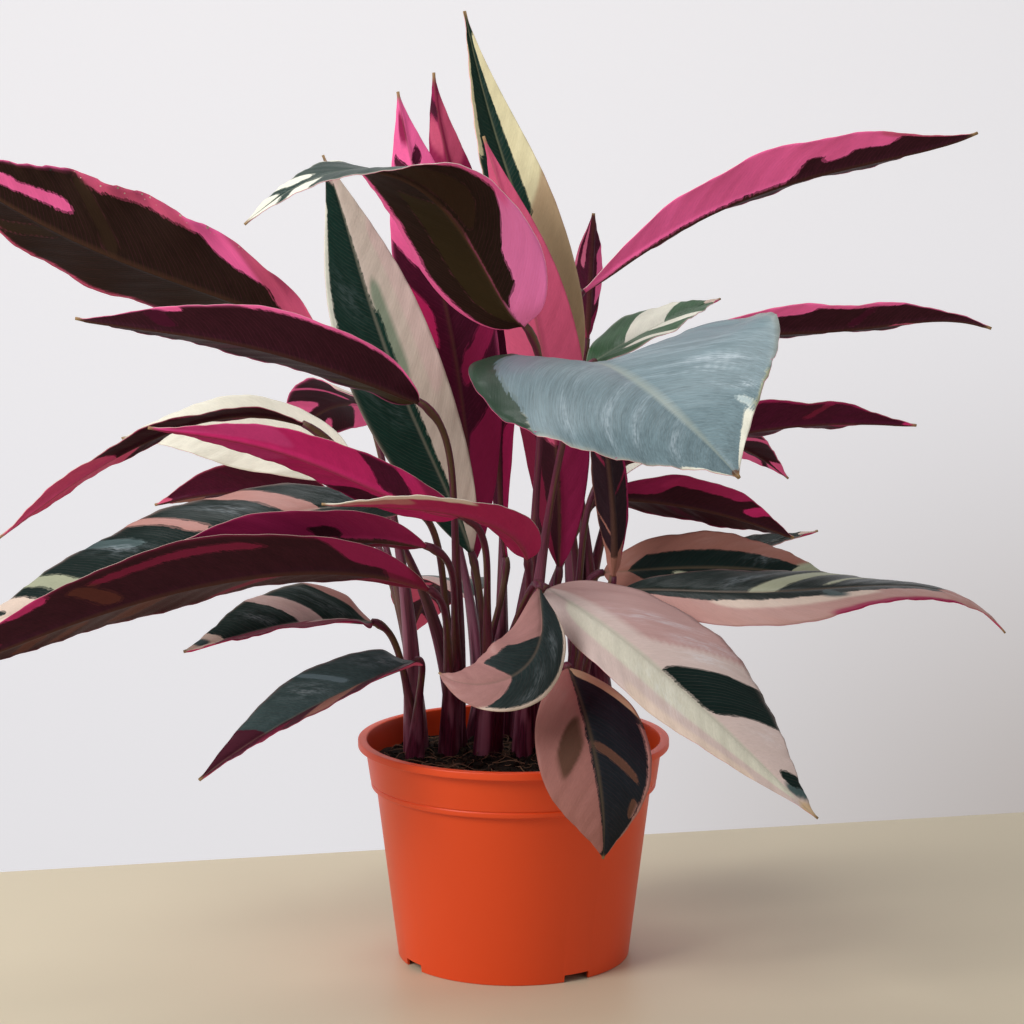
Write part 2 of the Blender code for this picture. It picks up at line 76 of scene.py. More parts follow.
# The soil: its top, how high its mounds are, how far it sinks at the wall, and how much wider its top is than
# the inside of the band's foot
SOIL_TOP = 121 * MM
SOIL_BUMP = 1.5 * MM
SOIL_SINK = 2.5 * MM
SOIL_WIDENING = 1.6 * MM

# The stalks: a wide sheath at the foot, then a slim round neck
STALK_FOOT_HEIGHT = 100 * MM
STALK_SPACING = 5.5 * MM
SHEATH_RADIUS = 6.2 * MM
NECK_RADIUS = 2.1 * MM
STALK_POINTS = 7
STALK_ORDER = 5
STALK_END = 3 * MM

# The blades
NECK_WIDTH = 3.4 * MM
TIP_WIDTH = 1.6 * MM
SPINE_SAMPLES = 200

# Each shoot is a short fan of stalks: its foot at (x, y) in mm, and the turn of its fan in degrees.
SHOOTS = {
    "left": ((-60, 18), 85),
    "left_inner": ((-37, 28), 75),
    "middle": ((-14, 18), 70),
    "middle_back": ((-8, 60), 0),
    "right_inner": ((8, 16), 75),
    "right": ((34, 4), 75),
    "right_back": ((46, 46), -45),
}

# A leaf: its shoot, the spine of its blade from the neck to the tip in mm, its full width in mm, the way its
# upper side looks at the neck and at the tip, the fold of its halves up from the spine and the droop of their
# margins in degrees, the share of its length where it is widest, its margin waves (height in mm, count), how
# wide its left and right halves are, and its place in the fan.
Leaf = namedtuple(
    "Leaf",
    "name shoot spine width faces tip_faces fold droop widest waves halves rank",
)

UP = (0.0, -0.1, 1.0)

LEAVES = [
    Leaf("blade_spire", "right_back",
         [(28, 28, 340), (20, 42, 400), (0, 55, 465), (-17, 65, 520), (-30, 70, 574)],
         46, (0.35, -1, 0.1), (0.3, -1, 0.1), 18, -8, 0.36, (1, 2), (1, 1), 0),
    Leaf("blade_rosy_spire", "right_inner",
         [(28, 16, 238), (26, 14, 311), (15, 14, 383), (0, 21, 442), (-18, 35, 498)],
         46, (0.1, 1, 0), (0.2, 1, 0), 12, 0, 0.45, (1, 2), (1, 1), 1),
    Leaf("blade_arch", "right_inner",
         [(6, -35, 390), (-30, -68, 447), (-72, -92, 480), (-112, -112, 476), (-148, -125, 452)],
         80, (0.25, 0.9, 0.35), (-0.1, -0.35, 1), 8, 10, 0.36, (2, 3), (1, 1), -1),
    Leaf("blade_flag_left", "middle",
         [(-24, 25, 238), (-29, 38, 313), (-40, 48, 386), (-57, 58, 459), (-71, 65, 525)],
         58, (-0.05, 1, 0), (0, 1, 0), 14, 0, 0.52, (1, 2), (1, 1), 1),
    Leaf("blade_flag_right", "middle_back",
         [(-5, 60, 236), (-10, 75, 309), (-20, 88, 396), (-38, 96, 470), (-50, 102, 537)],
         36, (0.1, 1, 0), (0, 1, 0), 18, 0, 0.6, (1, 2), (1, 1), -3),
    Leaf("blade_green_flag", "middle",
         [(-26, 14, 247), (-48, 12, 301), (-73, 12, 360), (-94, 20, 422), (-115, 30, 487)],
         58, (0.1, -1, 0.1), (0.2, -1, 0.2), 12, 10, 0.48, (1.5, 2), (1, 1), -1),
    Leaf("blade_upper_left", "left",
         [(-118, 60, 372), (-184, 50, 402), (-246, 35, 427), (-300, 20, 456), (-352, 0, 494)],
         84, (0, 0.85, 0.5), (0, 0.85, 0.5), 28, 8, 0.5, (2.5, 5), (1, 1), 0),
    Leaf("blade_second_left", "left_inner",
         [(-56, -45, 346), (-106, -65, 367), (-156, -75, 382), (-207, -80, 391), (-249, -80, 397)],
         52, (0, 0.7, 0.7), (0, 0.7, 0.7), 30, 8, 0.4, (1, 3), (1, 1), 1),
    Leaf("blade_ribbon", "left_inner",
         [(-130, 40, 323), (-168, 20, 331), (-212, -5, 322), (-255, -25, 300), (-303, -45, 265)],
         26, (0, 0.5, 0.85), (0, 0.6, 0.8), 10, 10, 0.5, (1.5, 3), (1, 1), 2),
    Leaf("blade_magenta_left", "middle",
         [(-32, -75, 283), (-73, -90, 298), (-121, -100, 320), (-165, -105, 332), (-205, -110, 338)],
         38, (0, 0.75, 0.65), (0, 0.75, 0.65), 20, 12, 0.36, (1, 2), (1, 1), -2),
    Leaf("blade_cream_back", "left",
         [(-105, 90, 284), (-140, 100, 303), (-192, 105, 312), (-251, 105, 306)],
         54, (0, -0.8, 0.6), (0, -0.8, 0.6), 10, 20, 0.4, (2, 2), (1, 1), 2),
    Leaf("blade_maroon_back", "left", [(-108, 112, 258), (-172, 130, 268), (-235, 140, 258)],
         44, (0, 0.75, 0.65), (0, 0.75, 0.65), 25, 10, 0.45, (1, 2), (1, 1), 3),
    Leaf("blade_dark_left", "left_inner",
         [(-62, -35, 282), (-112, -60, 285), (-174, -80, 273), (-245, -95, 247), (-322, -110, 217)],
         66, (0, -0.45, 0.9), (0, -0.6, 0.8), 10, 20, 0.45, (1.5, 4), (1, 1), -1),
    Leaf("blade_crimson_left", "left_inner",
         [(-51, -80, 266), (-104, -105, 273), (-160, -125, 266), (-205, -135, 253), (-250, -145, 236)],
         46, (0, 0.75, 0.65), (0, 0.75, 0.65), 26, 10, 0.45, (1.5, 3), (1, 1), 0),
    Leaf("blade_lower_left", "left_inner",
         [(-50, -80, 241), (-105, -120, 258), (-165, -145, 256), (-230, -165, 241), (-322, -180, 208)],
         58, (0, 0.75, 0.65), (0, 0.75, 0.65), 26, 10, 0.5, (1.5, 3), (1, 1), -2),
    Leaf("blade_small_left", "left",
         [(-85, -20, 210), (-115, -30, 213), (-155, -36, 207), (-196, -40, 196)],
         56, (0, -0.35, 1), (0, -0.35, 1), 35, 20, 0.4, (1, 3), (1, 1), -1),
    Leaf("blade_trailing_left", "left",
         [(-58, -50, 192), (-84, -80, 187), (-122, -100, 172), (-178, -125, 139)],
         44, (0, -0.25, 1), (0, -0.5, 0.9), 38, 15, 0.38, (1, 2), (1, 1), -2),
    Leaf("blade_curled", "middle",
         [(15, -88, 242), (16, -109, 224), (8, -126, 206), (-14, -136, 197), (-42, -130, 202)],
         50, (0.3, -0.9, 0.4), (0, -0.8, 0.6), 6, 30, 0.55, (2, 2), (0.8, 0.92), 0),
    Leaf("blade_pale_right", "right", [(20, -52, 236), (60, -95, 216), (108, -132, 180), (168, -165, 127)],
         84, (0.1, -0.65, 0.75), (0.3, -0.8, 0.5), 4, 22, 0.4, (1.5, 3), (1.14, 0.58), -2),
    Leaf("blade_hanging", "right", [(32, -70, 192), (41, -105, 172), (49, -125, 136), (51, -122, 92)],
         66, (0.1, -0.7, 0.7), (0.1, -1, 0.1), 6, 20, 0.5, (1, 2), (1, 1), -3),
    Leaf("blade_striped_right", "right",
         [(64, -30, 231), (121, -50, 234), (190, -70, 240), (245, -85, 241), (282, -95, 218)],
         66, (0, -0.6, 0.8), (0, 0.1, 1), 4, 25, 0.5, (1, 3), (1, 1), -1),
    Leaf("blade_dark_right", "right", [(55, 10, 235), (102, 10, 238), (151, 15, 236), (204, 20, 225)],
         66, (0, -0.6, 0.8), (0, -0.6, 0.8), 6, 20, 0.42, (1, 3), (1, 1), 1),
    Leaf("blade_maroon_right", "right_back",
         [(56, 49, 276), (104, 58, 270), (142, 60, 261), (176, 65, 248)],
         42, (0, 0.75, 0.65), (0, 0.75, 0.65), 22, 10, 0.45, (1, 3), (1, 1), 1),
    Leaf("blade_slip_right", "right_back", [(82, 85, 225), (139, 98, 234), (196, 108, 246)],
         30, UP, UP, 15, 10, 0.5, (1, 2), (1, 1), 2),
    Leaf("blade_silver", "right_inner",
         [(46, -80, 372), (66, -140, 368), (92, -188, 350), (118, -218, 324)],
         164, (0, -0.33, 1), (-0.15, -0.6, 0.8), 16, 6, 0.42, (2, 3), (1.03, 1.18), 0),
    Leaf("blade_green_back", "right_back", [(46, 60, 357), (84, 82, 377), (131, 100, 396)],
         56, UP, UP, 15, 15, 0.5, (1, 3), (1, 1), 3),
    Leaf("blade_top_right", "right_back",
         [(43, 50, 404), (86, 60, 432), (148, 70, 462), (212, 75, 480), (288, 80, 500)],
         50, (0, 0.6, 0.8), (0, 0.6, 0.8), 32, 8, 0.55, (1.5, 4), (1, 1), -1),
    Leaf("blade_long_right", "right_back",
         [(112, 30, 371), (163, 35, 380), (218, 40, 383), (255, 40, 387), (292, 35, 382)],
         38, (0, 0.6, 0.8), (0, 0.6, 0.8), 28, 8, 0.4, (1.5, 3), (1, 1), -2),
    Leaf("blade_mid_right", "right", [(63, 20, 300), (114, 30, 314), (176, 35, 323), (248, 40, 322)],
         40, (0, 0.6, 0.8), (0, 0.6, 0.8), 26, 10, 0.5, (2, 4), (1, 1), 2),
    Leaf("blade_bud", "middle_back", [(46, 82, 372), (48, 84, 412), (50, 86, 450)],
         22, (-0.2, 1, 0), (-0.2, 1, 0), 40, 10, 0.5, (0.5, 2), (1, 1), 1),
    Leaf("blade_sliver", "right_inner",
         [(8, -60, 256), (-12, -92, 281), (-52, -112, 293), (-107, -125, 297)],
         34, (0, 0.4, 1), (0, 0.3, 1), 24, 12, 0.36, (1, 2), (1, 1), -2),
    Leaf("blade_rolled", "right", [(60, -8, 236), (60, -10, 270), (56, -8, 310), (51, -4, 352)],
         28, (0, 1, 0), (0, 1, 0), 50, 15, 0.5, (0.5, 2), (1, 1), 0),
    Leaf("blade_rear_left", "middle_back",
         [(-60, 140, 300), (-95, 190, 318), (-130, 235, 310), (-160, 270, 275)],
         70, (0.2, 0.3, 1), (0.3, 0.6, 0.7), 12, 20, 0.45, (1.5, 3), (1, 1), -2),
    Leaf("blade_rear_middle", "middle_back",
         [(-5, 130, 340), (-2, 175, 365), (4, 225, 370), (12, 275, 345)],
         72, (0, 0.3, 1), (0, 0.7, 0.7), 12, 20, 0.45, (1.5, 3), (1, 1), 0),
    Leaf("blade_rear_right", "middle_back",
         [(60, 140, 270), (100, 180, 292), (145, 215, 290), (190, 240, 262)],
         68, (0, 0.3, 1), (0.3, 0.6, 0.7), 12, 20, 0.45, (1.5, 3), (1, 1), 2),
    Leaf("blade_rear_low", "middle_back",
         [(-30, 120, 200), (-45, 165, 205), (-60, 205, 185), (-72, 235, 150)],
         60, (0, 0.3, 1), (-0.2, 0.8, 0.6), 10, 20, 0.45, (1.5, 3), (1, 1), -1),
]

# Leaf colours, in linear light
CREAM = (0.66, 0.52, 0.43)
PALE_PINK = (0.60, 0.43, 0.39)
YELLOW_CREAM = (0.80, 0.71, 0.44)
TAN = (0.50, 0.35, 0.21)
DUSTY = (0.44, 0.22, 0.19)
DUSTY_BROWN = (0.30, 0.125, 0.095)
BROWN = (0.11, 0.05, 0.033)
IVORY = (0.78, 0.76, 0.64)
SAGE = (0.34, 0.35, 0.24)
GREEN = (0.007, 0.028, 0.020)
LEAF_GREEN = (0.035, 0.095, 0.04)
DEEP_GREEN = (0.004, 0.012, 0.010)
BLACK_GREEN = (0.010, 0.012, 0.016)
GREY_GREEN = (0.055, 0.085, 0.085)
# The leaf's green lifted to a blue grey by painted sheen
GREEN_WITH_PAINTED_SHEEN = (0.145, 0.205, 0.225)
# A painted sheen: a pale blue grey that stands in for reflected light
PAINTED_SHEEN_TONE = (0.42, 0.50, 0.50)
PINK = (0.86, 0.13, 0.34)
ROSE = (0.56, 0.085, 0.17)
MAGENTA = (0.52, 0.022, 0.13)
DEEP_MAGENTA = (0.27, 0.014, 0.07)
CRIMSON = (0.17, 0.012, 0.038)
MAROON = (0.032, 0.006, 0.011)
OLIVE_MAROON = (0.020, 0.009, 0.006)
PLUM = (0.060, 0.005, 0.020)
RUST = (0.085, 0.022, 0.017)

# The look of each blade: U or D for the side that shows the strokes' own colours, pale and dark colour above,
# pale and dark colour underneath, and its strokes, painted in turn. A stroke is (side, first vein, last vein,
# from, to, colour): side is -1 left, 1 right or 0 both, a vein is named by the share of the midrib where it
# begins, and from and to are shares of the way out. A colour of None is the side's pale one, and "dark"
# paints with its dark one.
Look = namedtuple("Look", "side pale dark under_pale under_dark strokes")
LOOKS = {
    "blade_spire": Look("U", YELLOW_CREAM, GREEN, PINK, MAROON, [
        (1, -0.3, 0.93, 0.34, 1.2, None),
        (1, -0.3, 0.44, 0.12, 1.2, TAN),
        (-1, 0.55, 0.90, 0.80, 1.2, None),
    ]),
    "blade_rosy_spire": Look("D", CREAM, GREEN, ROSE, MAROON, [
        (0, 0.28, 1.1, -0.1, 1.2, None),
        (-1, -0.3, 0.30, 0.05, 1.2, DEEP_MAGENTA),
        (1, -0.3, 0.26, 0.55, 1.2, CRIMSON),
        (1, 0.62, 0.66, 0.1, 0.8, "dark"),
    ]),
    "blade_arch": Look("D", IVORY, GREEN, PINK, OLIVE_MAROON, [
        (-1, -0.4, 0.19, 0.38, 1.2, (0.95, 0.22, 0.50)),
        (-1, -0.4, 0.09, 0.05, 1.2, (0.95, 0.22, 0.50)),
        (-1, 0.15, 0.40, 0.93, 1.2, None),
        (1, -0.4, 0.60, 0.93, 1.2, None),
        (1, 0.02, 0.42, -0.1, 0.55, (0.034, 0.021, 0.008)),
        (-1, 0.30, 0.55, 0.1, 0.6, (0.034, 0.016, 0.008)),
        (0, 0.76, 0.84, 0.2, 1.2, None),
        (0, 0.88, 1.1, 0.1, 1.2, None),
    ]),
    "blade_flag_left": Look("D", CREAM, GREEN, PINK, PLUM, [
        (0, 0.60, 1.1, -0.1, 1.2, None),
        (-1, 0.83, 0.87, 0.0, 0.6, "dark"),
        (1, 0.80, 0.84, 0.1, 0.9, "dark"),
        (1, 0.90, 0.94, 0.0, 0.5, DEEP_MAGENTA),
        (-1, -0.3, 0.26, 0.05, 1.2, DEEP_MAGENTA),
        (-1, 0.36, 0.42, 0.1, 1.0, DEEP_MAGENTA),
        (1, 0.15, 0.22, 0.1, 0.9, DEEP_MAGENTA),
        (1, 0.42, 0.52, 0.3, 1.2, MAGENTA),
    ]),
    "blade_flag_right": Look("D", CREAM, GREEN, ROSE, PLUM, [
        (0, 0.45, 1.1, -0.1, 1.2, DEEP_MAGENTA),
        (-1, 0.80, 0.93, 0.2, 1.2, None),
        (1, 0.84, 0.88, 0.1, 0.9, None),
        (1, 0.90, 0.94, 0.0, 1.2, "dark"),
        (1, 0.70, 0.76, 0.0, 1.2, "dark"),
        (-1, 0.0, 0.25, 0.3, 1.2, MAGENTA),
        (1, 0.28, 0.36, 0.3, 1.2, MAGENTA),
    ]),
    "blade_green_flag": Look("U", CREAM, GREEN, PINK, MAROON, [
        (1, -0.4, 1.1, 0.17, 1.2, (0.56, 0.45, 0.38)),
        (1, 0.60, 0.95, 0.05, 0.4, (0.56, 0.45, 0.38)),
        (1, 0.30, 0.75, 0.70, 1.2, PALE_PINK),
        (1, 0.42, 0.66, 0.14, 0.26, (0.22, 0.25, 0.18)),
        (-1, 0.45, 0.85, 0.88, 1.2, IVORY),
        (0, 0.93, 1.1, -0.1, 1.2, PALE_PINK),
    ]),
    "blade_upper_left": Look("D", CREAM, GREEN, PINK, OLIVE_MAROON, [
        (-1, 0.58, 0.82, 0.33, 0.52, None),
        (-1, 0.72, 0.92, 0.5, 0.62, None),
        (-1, 0.14, 0.50, 0.84, 1.2, ROSE),
        (-1, -0.3, 0.20, 0.62, 1.2, PINK),
        (-1, -0.3, 0.10, 0.25, 1.2, ROSE),
        (-1, 0.49, 0.53, 0.0, 0.9, (0.030, 0.015, 0.008)),
        (1, 0.62, 0.68, 0.1, 0.9, (0.030, 0.015, 0.008)),
        (1, 0.2, 0.9, 0.95, 1.2, ROSE),
        (0, 0.93, 1.1, 0.1, 1.2, None),
    ]),
    "blade_second_left": Look("D", CREAM, GREEN, PINK, MAROON, [
        (-1, -0.2, 0.42, 0.93, 1.2, None),
        (-1, 0.62, 0.72, 0.80, 1.2, None),
        (1, -0.3, 0.16, 0.1, 0.8, (0.055, 0.032, 0.012)),
        (-1, 0.70, 0.76, 0.2, 0.9, PLUM),
        (1, 0.50, 0.55, 0.1, 0.9, PLUM),
    ]),
    "blade_ribbon": Look("D", CREAM, GREEN, (0.60, 0.07, 0.17), MAROON, [
        (0, 0.60, 1.1, -0.1, 1.2, None),
        (1, 0.50, 0.70, 0.2, 1.2, None),
        (-1, 0.25, 0.35, 0.86, 1.2, DEEP_MAGENTA),
        (1, 0.10, 0.18, 0.2, 0.8, CRIMSON),
    ]),
    "blade_magenta_left": Look("D", CREAM, GREEN, MAGENTA, PLUM, [
        (0, -0.3, 1.1, -0.1, 1.2, None),
        (0, 0.55, 1.1, 0.3, 1.2, (0.56, 0.045, 0.18)),
        (-1, 0.14, 0.27, 0.08, 1.2, "dark"),
        (1, 0.16, 0.30, 0.35, 1.2, "dark"),
        (-1, -0.3, 0.06, 0.2, 1.2, DEEP_MAGENTA),
    ]),
    "blade_cream_back": Look("U", (0.78, 0.74, 0.62), GREEN, PINK, MAROON, [
        (0, -0.3, 1.1, -0.1, 1.2, None),
    ]),
    "blade_maroon_back": Look("D", CREAM, GREEN, ROSE, PLUM, [
        (1, 0.72, 1.1, 0.2, 1.2, DUSTY_BROWN),
        (0, 0.90, 1.1, 0.1, 1.2, None),
    ]),
    "blade_dark_left": Look("U", PALE_PINK, DEEP_GREEN, PINK, MAROON, [
        (1, 0.20, 0.265, -0.1, 1.2, DUSTY),
        (1, 0.41, 0.445, 0.1, 1.2, DUSTY),
        (1, 0.52, 0.56, 0.3, 1.2, GREY_GREEN),
        (1, 0.70, 0.75, -0.1, 1.2, SAGE),
        (0, 0.80, 1.1, -0.1, 1.2, CREAM),
        (1, 0.86, 0.89, 0.1, 1.2, "dark"),
        (-1, 0.15, 0.24, 0.2, 1.2, DUSTY),
        (-1, 0.40, 0.5, 0.1, 0.9, DUSTY),
        (1, -0.3, -0.01, 0.2, 1.2, PALE_PINK),
    ]),
    "blade_crimson_left": Look("D", CREAM, GREEN, DEEP_MAGENTA, MAROON, [
        (-1, -0.3, 0.62, 0.08, 1.2, None),
        (1, -0.3, 0.1, 0.1, 1.2, CRIMSON),
        (1, 0.15, 0.20, 0.1, 1.2, MAGENTA),
        (-1, 0.22, 0.30, 0.1, 0.5, "dark"),
        (0, 0.75, 1.1, 0.2, 1.2, CRIMSON),
    ]),
    "blade_lower_left": Look("D", CREAM, GREEN, CRIMSON, MAROON, [
        (0, -0.3, 0.10, -0.1, 1.2, None),
        (-1, 0.05, 0.17, 0.35, 1.2, DEEP_MAGENTA),
        (-1, 0.28, 0.60, 0.66, 0.80, CRIMSON),
        (-1, 0.60, 0.64, 0.10, 0.8, RUST),
        (1, 0.66, 0.70, 0.20, 0.9, RUST),
        (1, 0.75, 0.79, 0.10, 0.9, RUST),
        (-1, 0.66, 0.76, 0.80, 1.2, (0.42, 0.025, 0.11)),
        (1, 0.52, 0.58, 0.1, 0.8, RUST),
        (1, 0.30, 0.34, 0.1, 1.0, CRIMSON),
        (0, 0.84, 0.89, 0.1, 1.2, CRIMSON),
        (0, 0.95, 1.1, 0.1, 1.2, DEEP_MAGENTA),
    ]),
    "blade_small_left": Look("U", CREAM, (0.012, 0.026, 0.022), MAGENTA, PLUM, [
        (1, 0.26, 0.38, -0.1, 1.2, PALE_PINK),
        (1, 0.78, 1.1, -0.1, 1.2, None),
        (1, -0.4, 0.02, 0.05, 1.2, DUSTY),
        (1, 0.86, 0.90, 0.1, 1.2, GREY_GREEN),
        (-1, -0.4, 0.80, 0.35, 1.2, CRIMSON),
        (-1, 0.10, 0.22, 0.0, 0.5, PALE_PINK),
        (-1, 0.72, 1.1, 0.0, 1.2, None),
    ]),
    "blade_trailing_left": Look("U", DUSTY, GREY_GREEN, ROSE, PLUM, [
        (-1, -0.4, 1.1, 0.05, 1.2, (0.070, 0.014, 0.024)),
        (-1, 0.28, 0.42, 0.2, 0.9, DUSTY_BROWN),
        (-1, 0.55, 0.66, 0.5, 1.2, CRIMSON),
        (0, 0.70, 1.1, -0.1, 1.2, (0.085, 0.014, 0.028)),
        # A thin line of painted sheen
        (1, 0.30, 0.33, 0.2, 1.0, GREEN_WITH_PAINTED_SHEEN),
    ]),
    "blade_curled": Look("U", (0.40, 0.20, 0.185), (0.020, 0.030, 0.030), ROSE, PLUM, [
        (1, -0.4, 0.30, -0.1, 1.2, None),
        (1, 0.20, 0.62, 0.72, 1.2, None),
        (0, 0.60, 1.1, -0.1, 1.2, None),
        (-1, 0.05, 0.60, 0.90, 1.2, CREAM),
    ]),
    "blade_pale_right": Look("U", (0.56, 0.44, 0.40), DEEP_GREEN, PINK, MAROON, [
        (0, -0.5, 1.1, -0.1, 1.2, None),
        (-1, -0.4, 0.30, 0.30, 1.2, (0.44, 0.27, 0.25)),
        (1, 0.10, 0.90, -0.1, 0.45, (0.60, 0.57, 0.46)),
        (-1, 0.42, 0.62, 0.02, 1.2, "dark"),
        (-1, 0.82, 0.885, 0.22, 1.2, "dark"),
        (-1, 0.885, 0.91, 0.1, 1.2, GREY_GREEN),
        (1, 0.30, 0.75, 0.85, 1.2, CREAM),
        (0, 0.955, 1.1, -0.1, 1.2, TAN),
    ]),
    "blade_hanging": Look("U", DUSTY_BROWN, BLACK_GREEN, ROSE, MAROON, [
        (1, -0.4, 0.95, 0.08, 1.2, (0.34, 0.145, 0.125)),
        (1, 0.29, 0.44, 0.22, 0.58, BROWN),
        (-1, -0.4, 0.07, 0.15, 1.2, TAN),
        (-1, 0.44, 0.49, 0.0, 0.75, BROWN),
        (-1, 0.56, 0.68, 0.66, 0.86, BROWN),
        (-1, 0.1, 0.95, 0.93, 1.2, DUSTY),
    ]),
    "blade_striped_right": Look("U", DUSTY, DEEP_GREEN, MAGENTA, MAROON, [
        (1, -0.4, 1.1, 0.34, 1.2, (0.48, 0.27, 0.235)),
        (1, 0.22, 0.60, 0.30, 0.46, CREAM),
        (1, 0.50, 0.53, 0.05, 0.4, GREY_GREEN),
        (-1, 0.33, 0.40, -0.1, 1.2, SAGE),
        (-1, 0.50, 0.52, 0.1, 1.2, SAGE),
        (-1, -0.3, -0.05, 0.1, 1.2, DUSTY),
        (0, 0.80, 1.1, -0.1, 1.2, None),
        (1, 0.40, 0.80, 0.93, 1.2, (0.33, 0.022, 0.075)),
    ]),
    "blade_dark_right": Look("U", DUSTY_BROWN, DEEP_GREEN, ROSE, MAROON, [
        (-1, -0.4, 1.1, 0.46, 1.2, None),
        (0, -0.4, 0.10, -0.1, 1.2, None),
        (0, 0.76, 1.1, -0.1, 1.2, SAGE),
        (1, 0.25, 0.32, 0.1, 1.2, SAGE),
        (1, -0.3, 0.9, 0.80, 1.2, None),
    ]),
    "blade_maroon_right": Look("D", CREAM, GREEN, MAGENTA, MAROON, [
        (1, -0.3, 0.24, 0.28, 1.2, DEEP_MAGENTA),
        (1, 0.18, 0.58, 0.62, 1.2, (0.36, 0.02, 0.09)),
        (1, 0.66, 0.75, 0.28, 1.2, None),
        (-1, 0.30, 0.35, 0.1, 0.8, PLUM),
        (-1, -0.3, 0.05, 0.2, 1.2, CRIMSON),
    ]),
    "blade_slip_right": Look("U", CREAM, DEEP_GREEN, MAGENTA, MAROON, [(0, 0.88, 1.1, 0.2, 1.2, None)]),
    # Its dark colour is green with painted sheen in it
    "blade_silver": Look("U", IVORY, GREEN_WITH_PAINTED_SHEEN, PINK, MAROON, [
        (-1, 0.62, 0.95, 0.74, 1.2, None),
        # A streak of painted sheen
        (-1, 0.555, 0.60, 0.55, 0.95, PAINTED_SHEEN_TONE),
        (0, 0.965, 1.1, -0.1, 1.2, BROWN),
        (1, 0.70, 0.95, 0.90, 1.2, None),
        (-1, 0.30, 0.60, 0.955, 1.2, SAGE),
        (1, -0.5, -0.04, 0.84, 1.2, (0.030, 0.055, 0.035)),
    ]),
    "blade_green_back": Look("U", IVORY, LEAF_GREEN, PINK, MAROON, [
        (-1, 0.30, 0.60, -0.1, 1.2, None),
        (1, 0.42, 0.60, 0.1, 1.2, None),
        (1, 0.10, 0.2, 0.5, 1.2, None),
        (0, 0.88, 1.1, 0.1, 1.2, CREAM),
    ]),
    "blade_top_right": Look("D", IVORY, GREEN, PINK, MAROON, [
        (1, -0.4, 0.55, 0.06, 1.2, None),
        (1, 0.45, 0.76, 0.50, 1.2, None),
        (1, 0.60, 0.66, 0.3, 0.8, None),
        (1, 0.70, 0.98, 0.90, 1.2, ROSE),
        (-1, -0.3, 0.03, 0.1, 1.2, PINK),
    ]),
    "blade_long_right": Look("D", CREAM, GREEN, PINK, MAROON, [
        (-1, 0.65, 0.74, -0.1, 1.2, ROSE),
        (1, -0.4, 0.30, 0.62, 1.2, None),
        (1, 0.2, 0.62, 0.86, 1.2, None),
        (-1, -0.3, 0.10, 0.2, 1.2, DEEP_MAGENTA),
        (1, 0.5, 0.54, 0.1, 0.8, PLUM),
    ]),
    "blade_mid_right": Look("D", CREAM, GREEN, MAGENTA, PLUM, [
        (-1, 0.68, 0.80, 0.0, 0.9, DEEP_MAGENTA),
        (1, 0.60, 0.63, 0.2, 1.0, CRIMSON),
        (0, 0.95, 1.1, 0.1, 1.2, None),
        (1, 0.1, 0.8, 0.92, 1.2, DEEP_MAGENTA),
    ]),
    "blade_bud": Look("D", CREAM, GREEN, PINK, PLUM, [
        (1, 0.50, 0.95, 0.35, 0.62, (0.62, 0.15, 0.26)),
        (1, 0.40, 0.9, 0.85, 1.2, (0.62, 0.15, 0.26)),
        (-1, 0.2, 0.62, 0.5, 1.2, None),
        (0, -0.3, 0.12, 0.1, 1.2, DEEP_MAGENTA),
    ]),
    "blade_sliver": Look("D", IVORY, GREEN, DEEP_MAGENTA, PLUM, [
        (0, -0.4, 1.1, -0.1, 1.2, (0.36, 0.022, 0.085)),
        (0, 0.64, 1.1, 0.3, 1.2, (0.42, 0.14, 0.14)),
        (-1, 0.34, 1.1, 0.80, 1.2, CREAM),
        (1, 0.20, 0.28, 0.2, 1.2, PLUM),
    ]),
    "blade_rolled": Look("D", CREAM, GREEN, DUSTY_BROWN, (0.020, 0.008, 0.012), [
        (0, -0.3, 0.10, -0.1, 1.2, None),
        (1, 0.20, 0.215, 0.1, 1.1, DUSTY_BROWN),
        (-1, 0.40, 0.415, 0.1, 1.1, CRIMSON),
        (1, 0.56, 0.58, 0.1, 1.1, CRIMSON),
        (-1, 0.05, 0.95, 0.90, 1.2, DEEP_MAGENTA),
    ]),
    "blade_rear_left": Look("U", CREAM, GREEN, PINK, MAROON, [
        (1, -0.3, 0.08, 0.1, 1.2, None),
        (-1, 0.10, 0.22, 0.1, 1.1, None),
        (1, 0.38, 0.50, -0.1, 1.2, None),
        (-1, 0.44, 0.47, 0.1, 1.2, SAGE),
        (-1, 0.62, 1.1, 0.2, 1.2, PALE_PINK),
        (1, 0.66, 0.70, 0.3, 1.2, SAGE),
    ]),
    "blade_rear_middle": Look("U", PALE_PINK, GREEN, PINK, MAROON, [
        (-1, -0.3, 0.34, 0.1, 1.2, None),
        (1, 0.18, 0.26, 0.1, 0.9, None),
        (1, 0.52, 0.80, 0.05, 1.2, CREAM),
        (-1, 0.50, 0.54, 0.1, 1.2, SAGE),
        (-1, 0.86, 1.1, -0.1, 1.2, None),
    ]),
    "blade_rear_right": Look("U", CREAM, DEEP_GREEN, PINK, MAROON, [
        (1, -0.4, 0.45, 0.05, 1.2, IVORY),
        (-1, 0.22, 0.32, 0.1, 1.0, None),
        (1, 0.62, 0.66, 0.1, 1.2, SAGE),
        (-1, 0.60, 0.84, 0.3, 1.2, PALE_PINK),
        (0, 0.88, 1.1, 0.1, 1.2, None),
    ]),
    "blade_rear_low": Look("U", PALE_PINK, GREEN, ROSE, MAROON, [
        (-1, -0.2, 0.12, 0.2, 1.2, None),
        (1, 0.14, 0.28, 0.05, 1.1, None),
        (-1, 0.46, 0.68, 0.1, 1.2, CREAM),
        (1, 0.66, 0.70, 0.1, 1.2, SAGE),
        (1, 0.80, 1.1, 0.1, 1.2, None),
    ]),
}

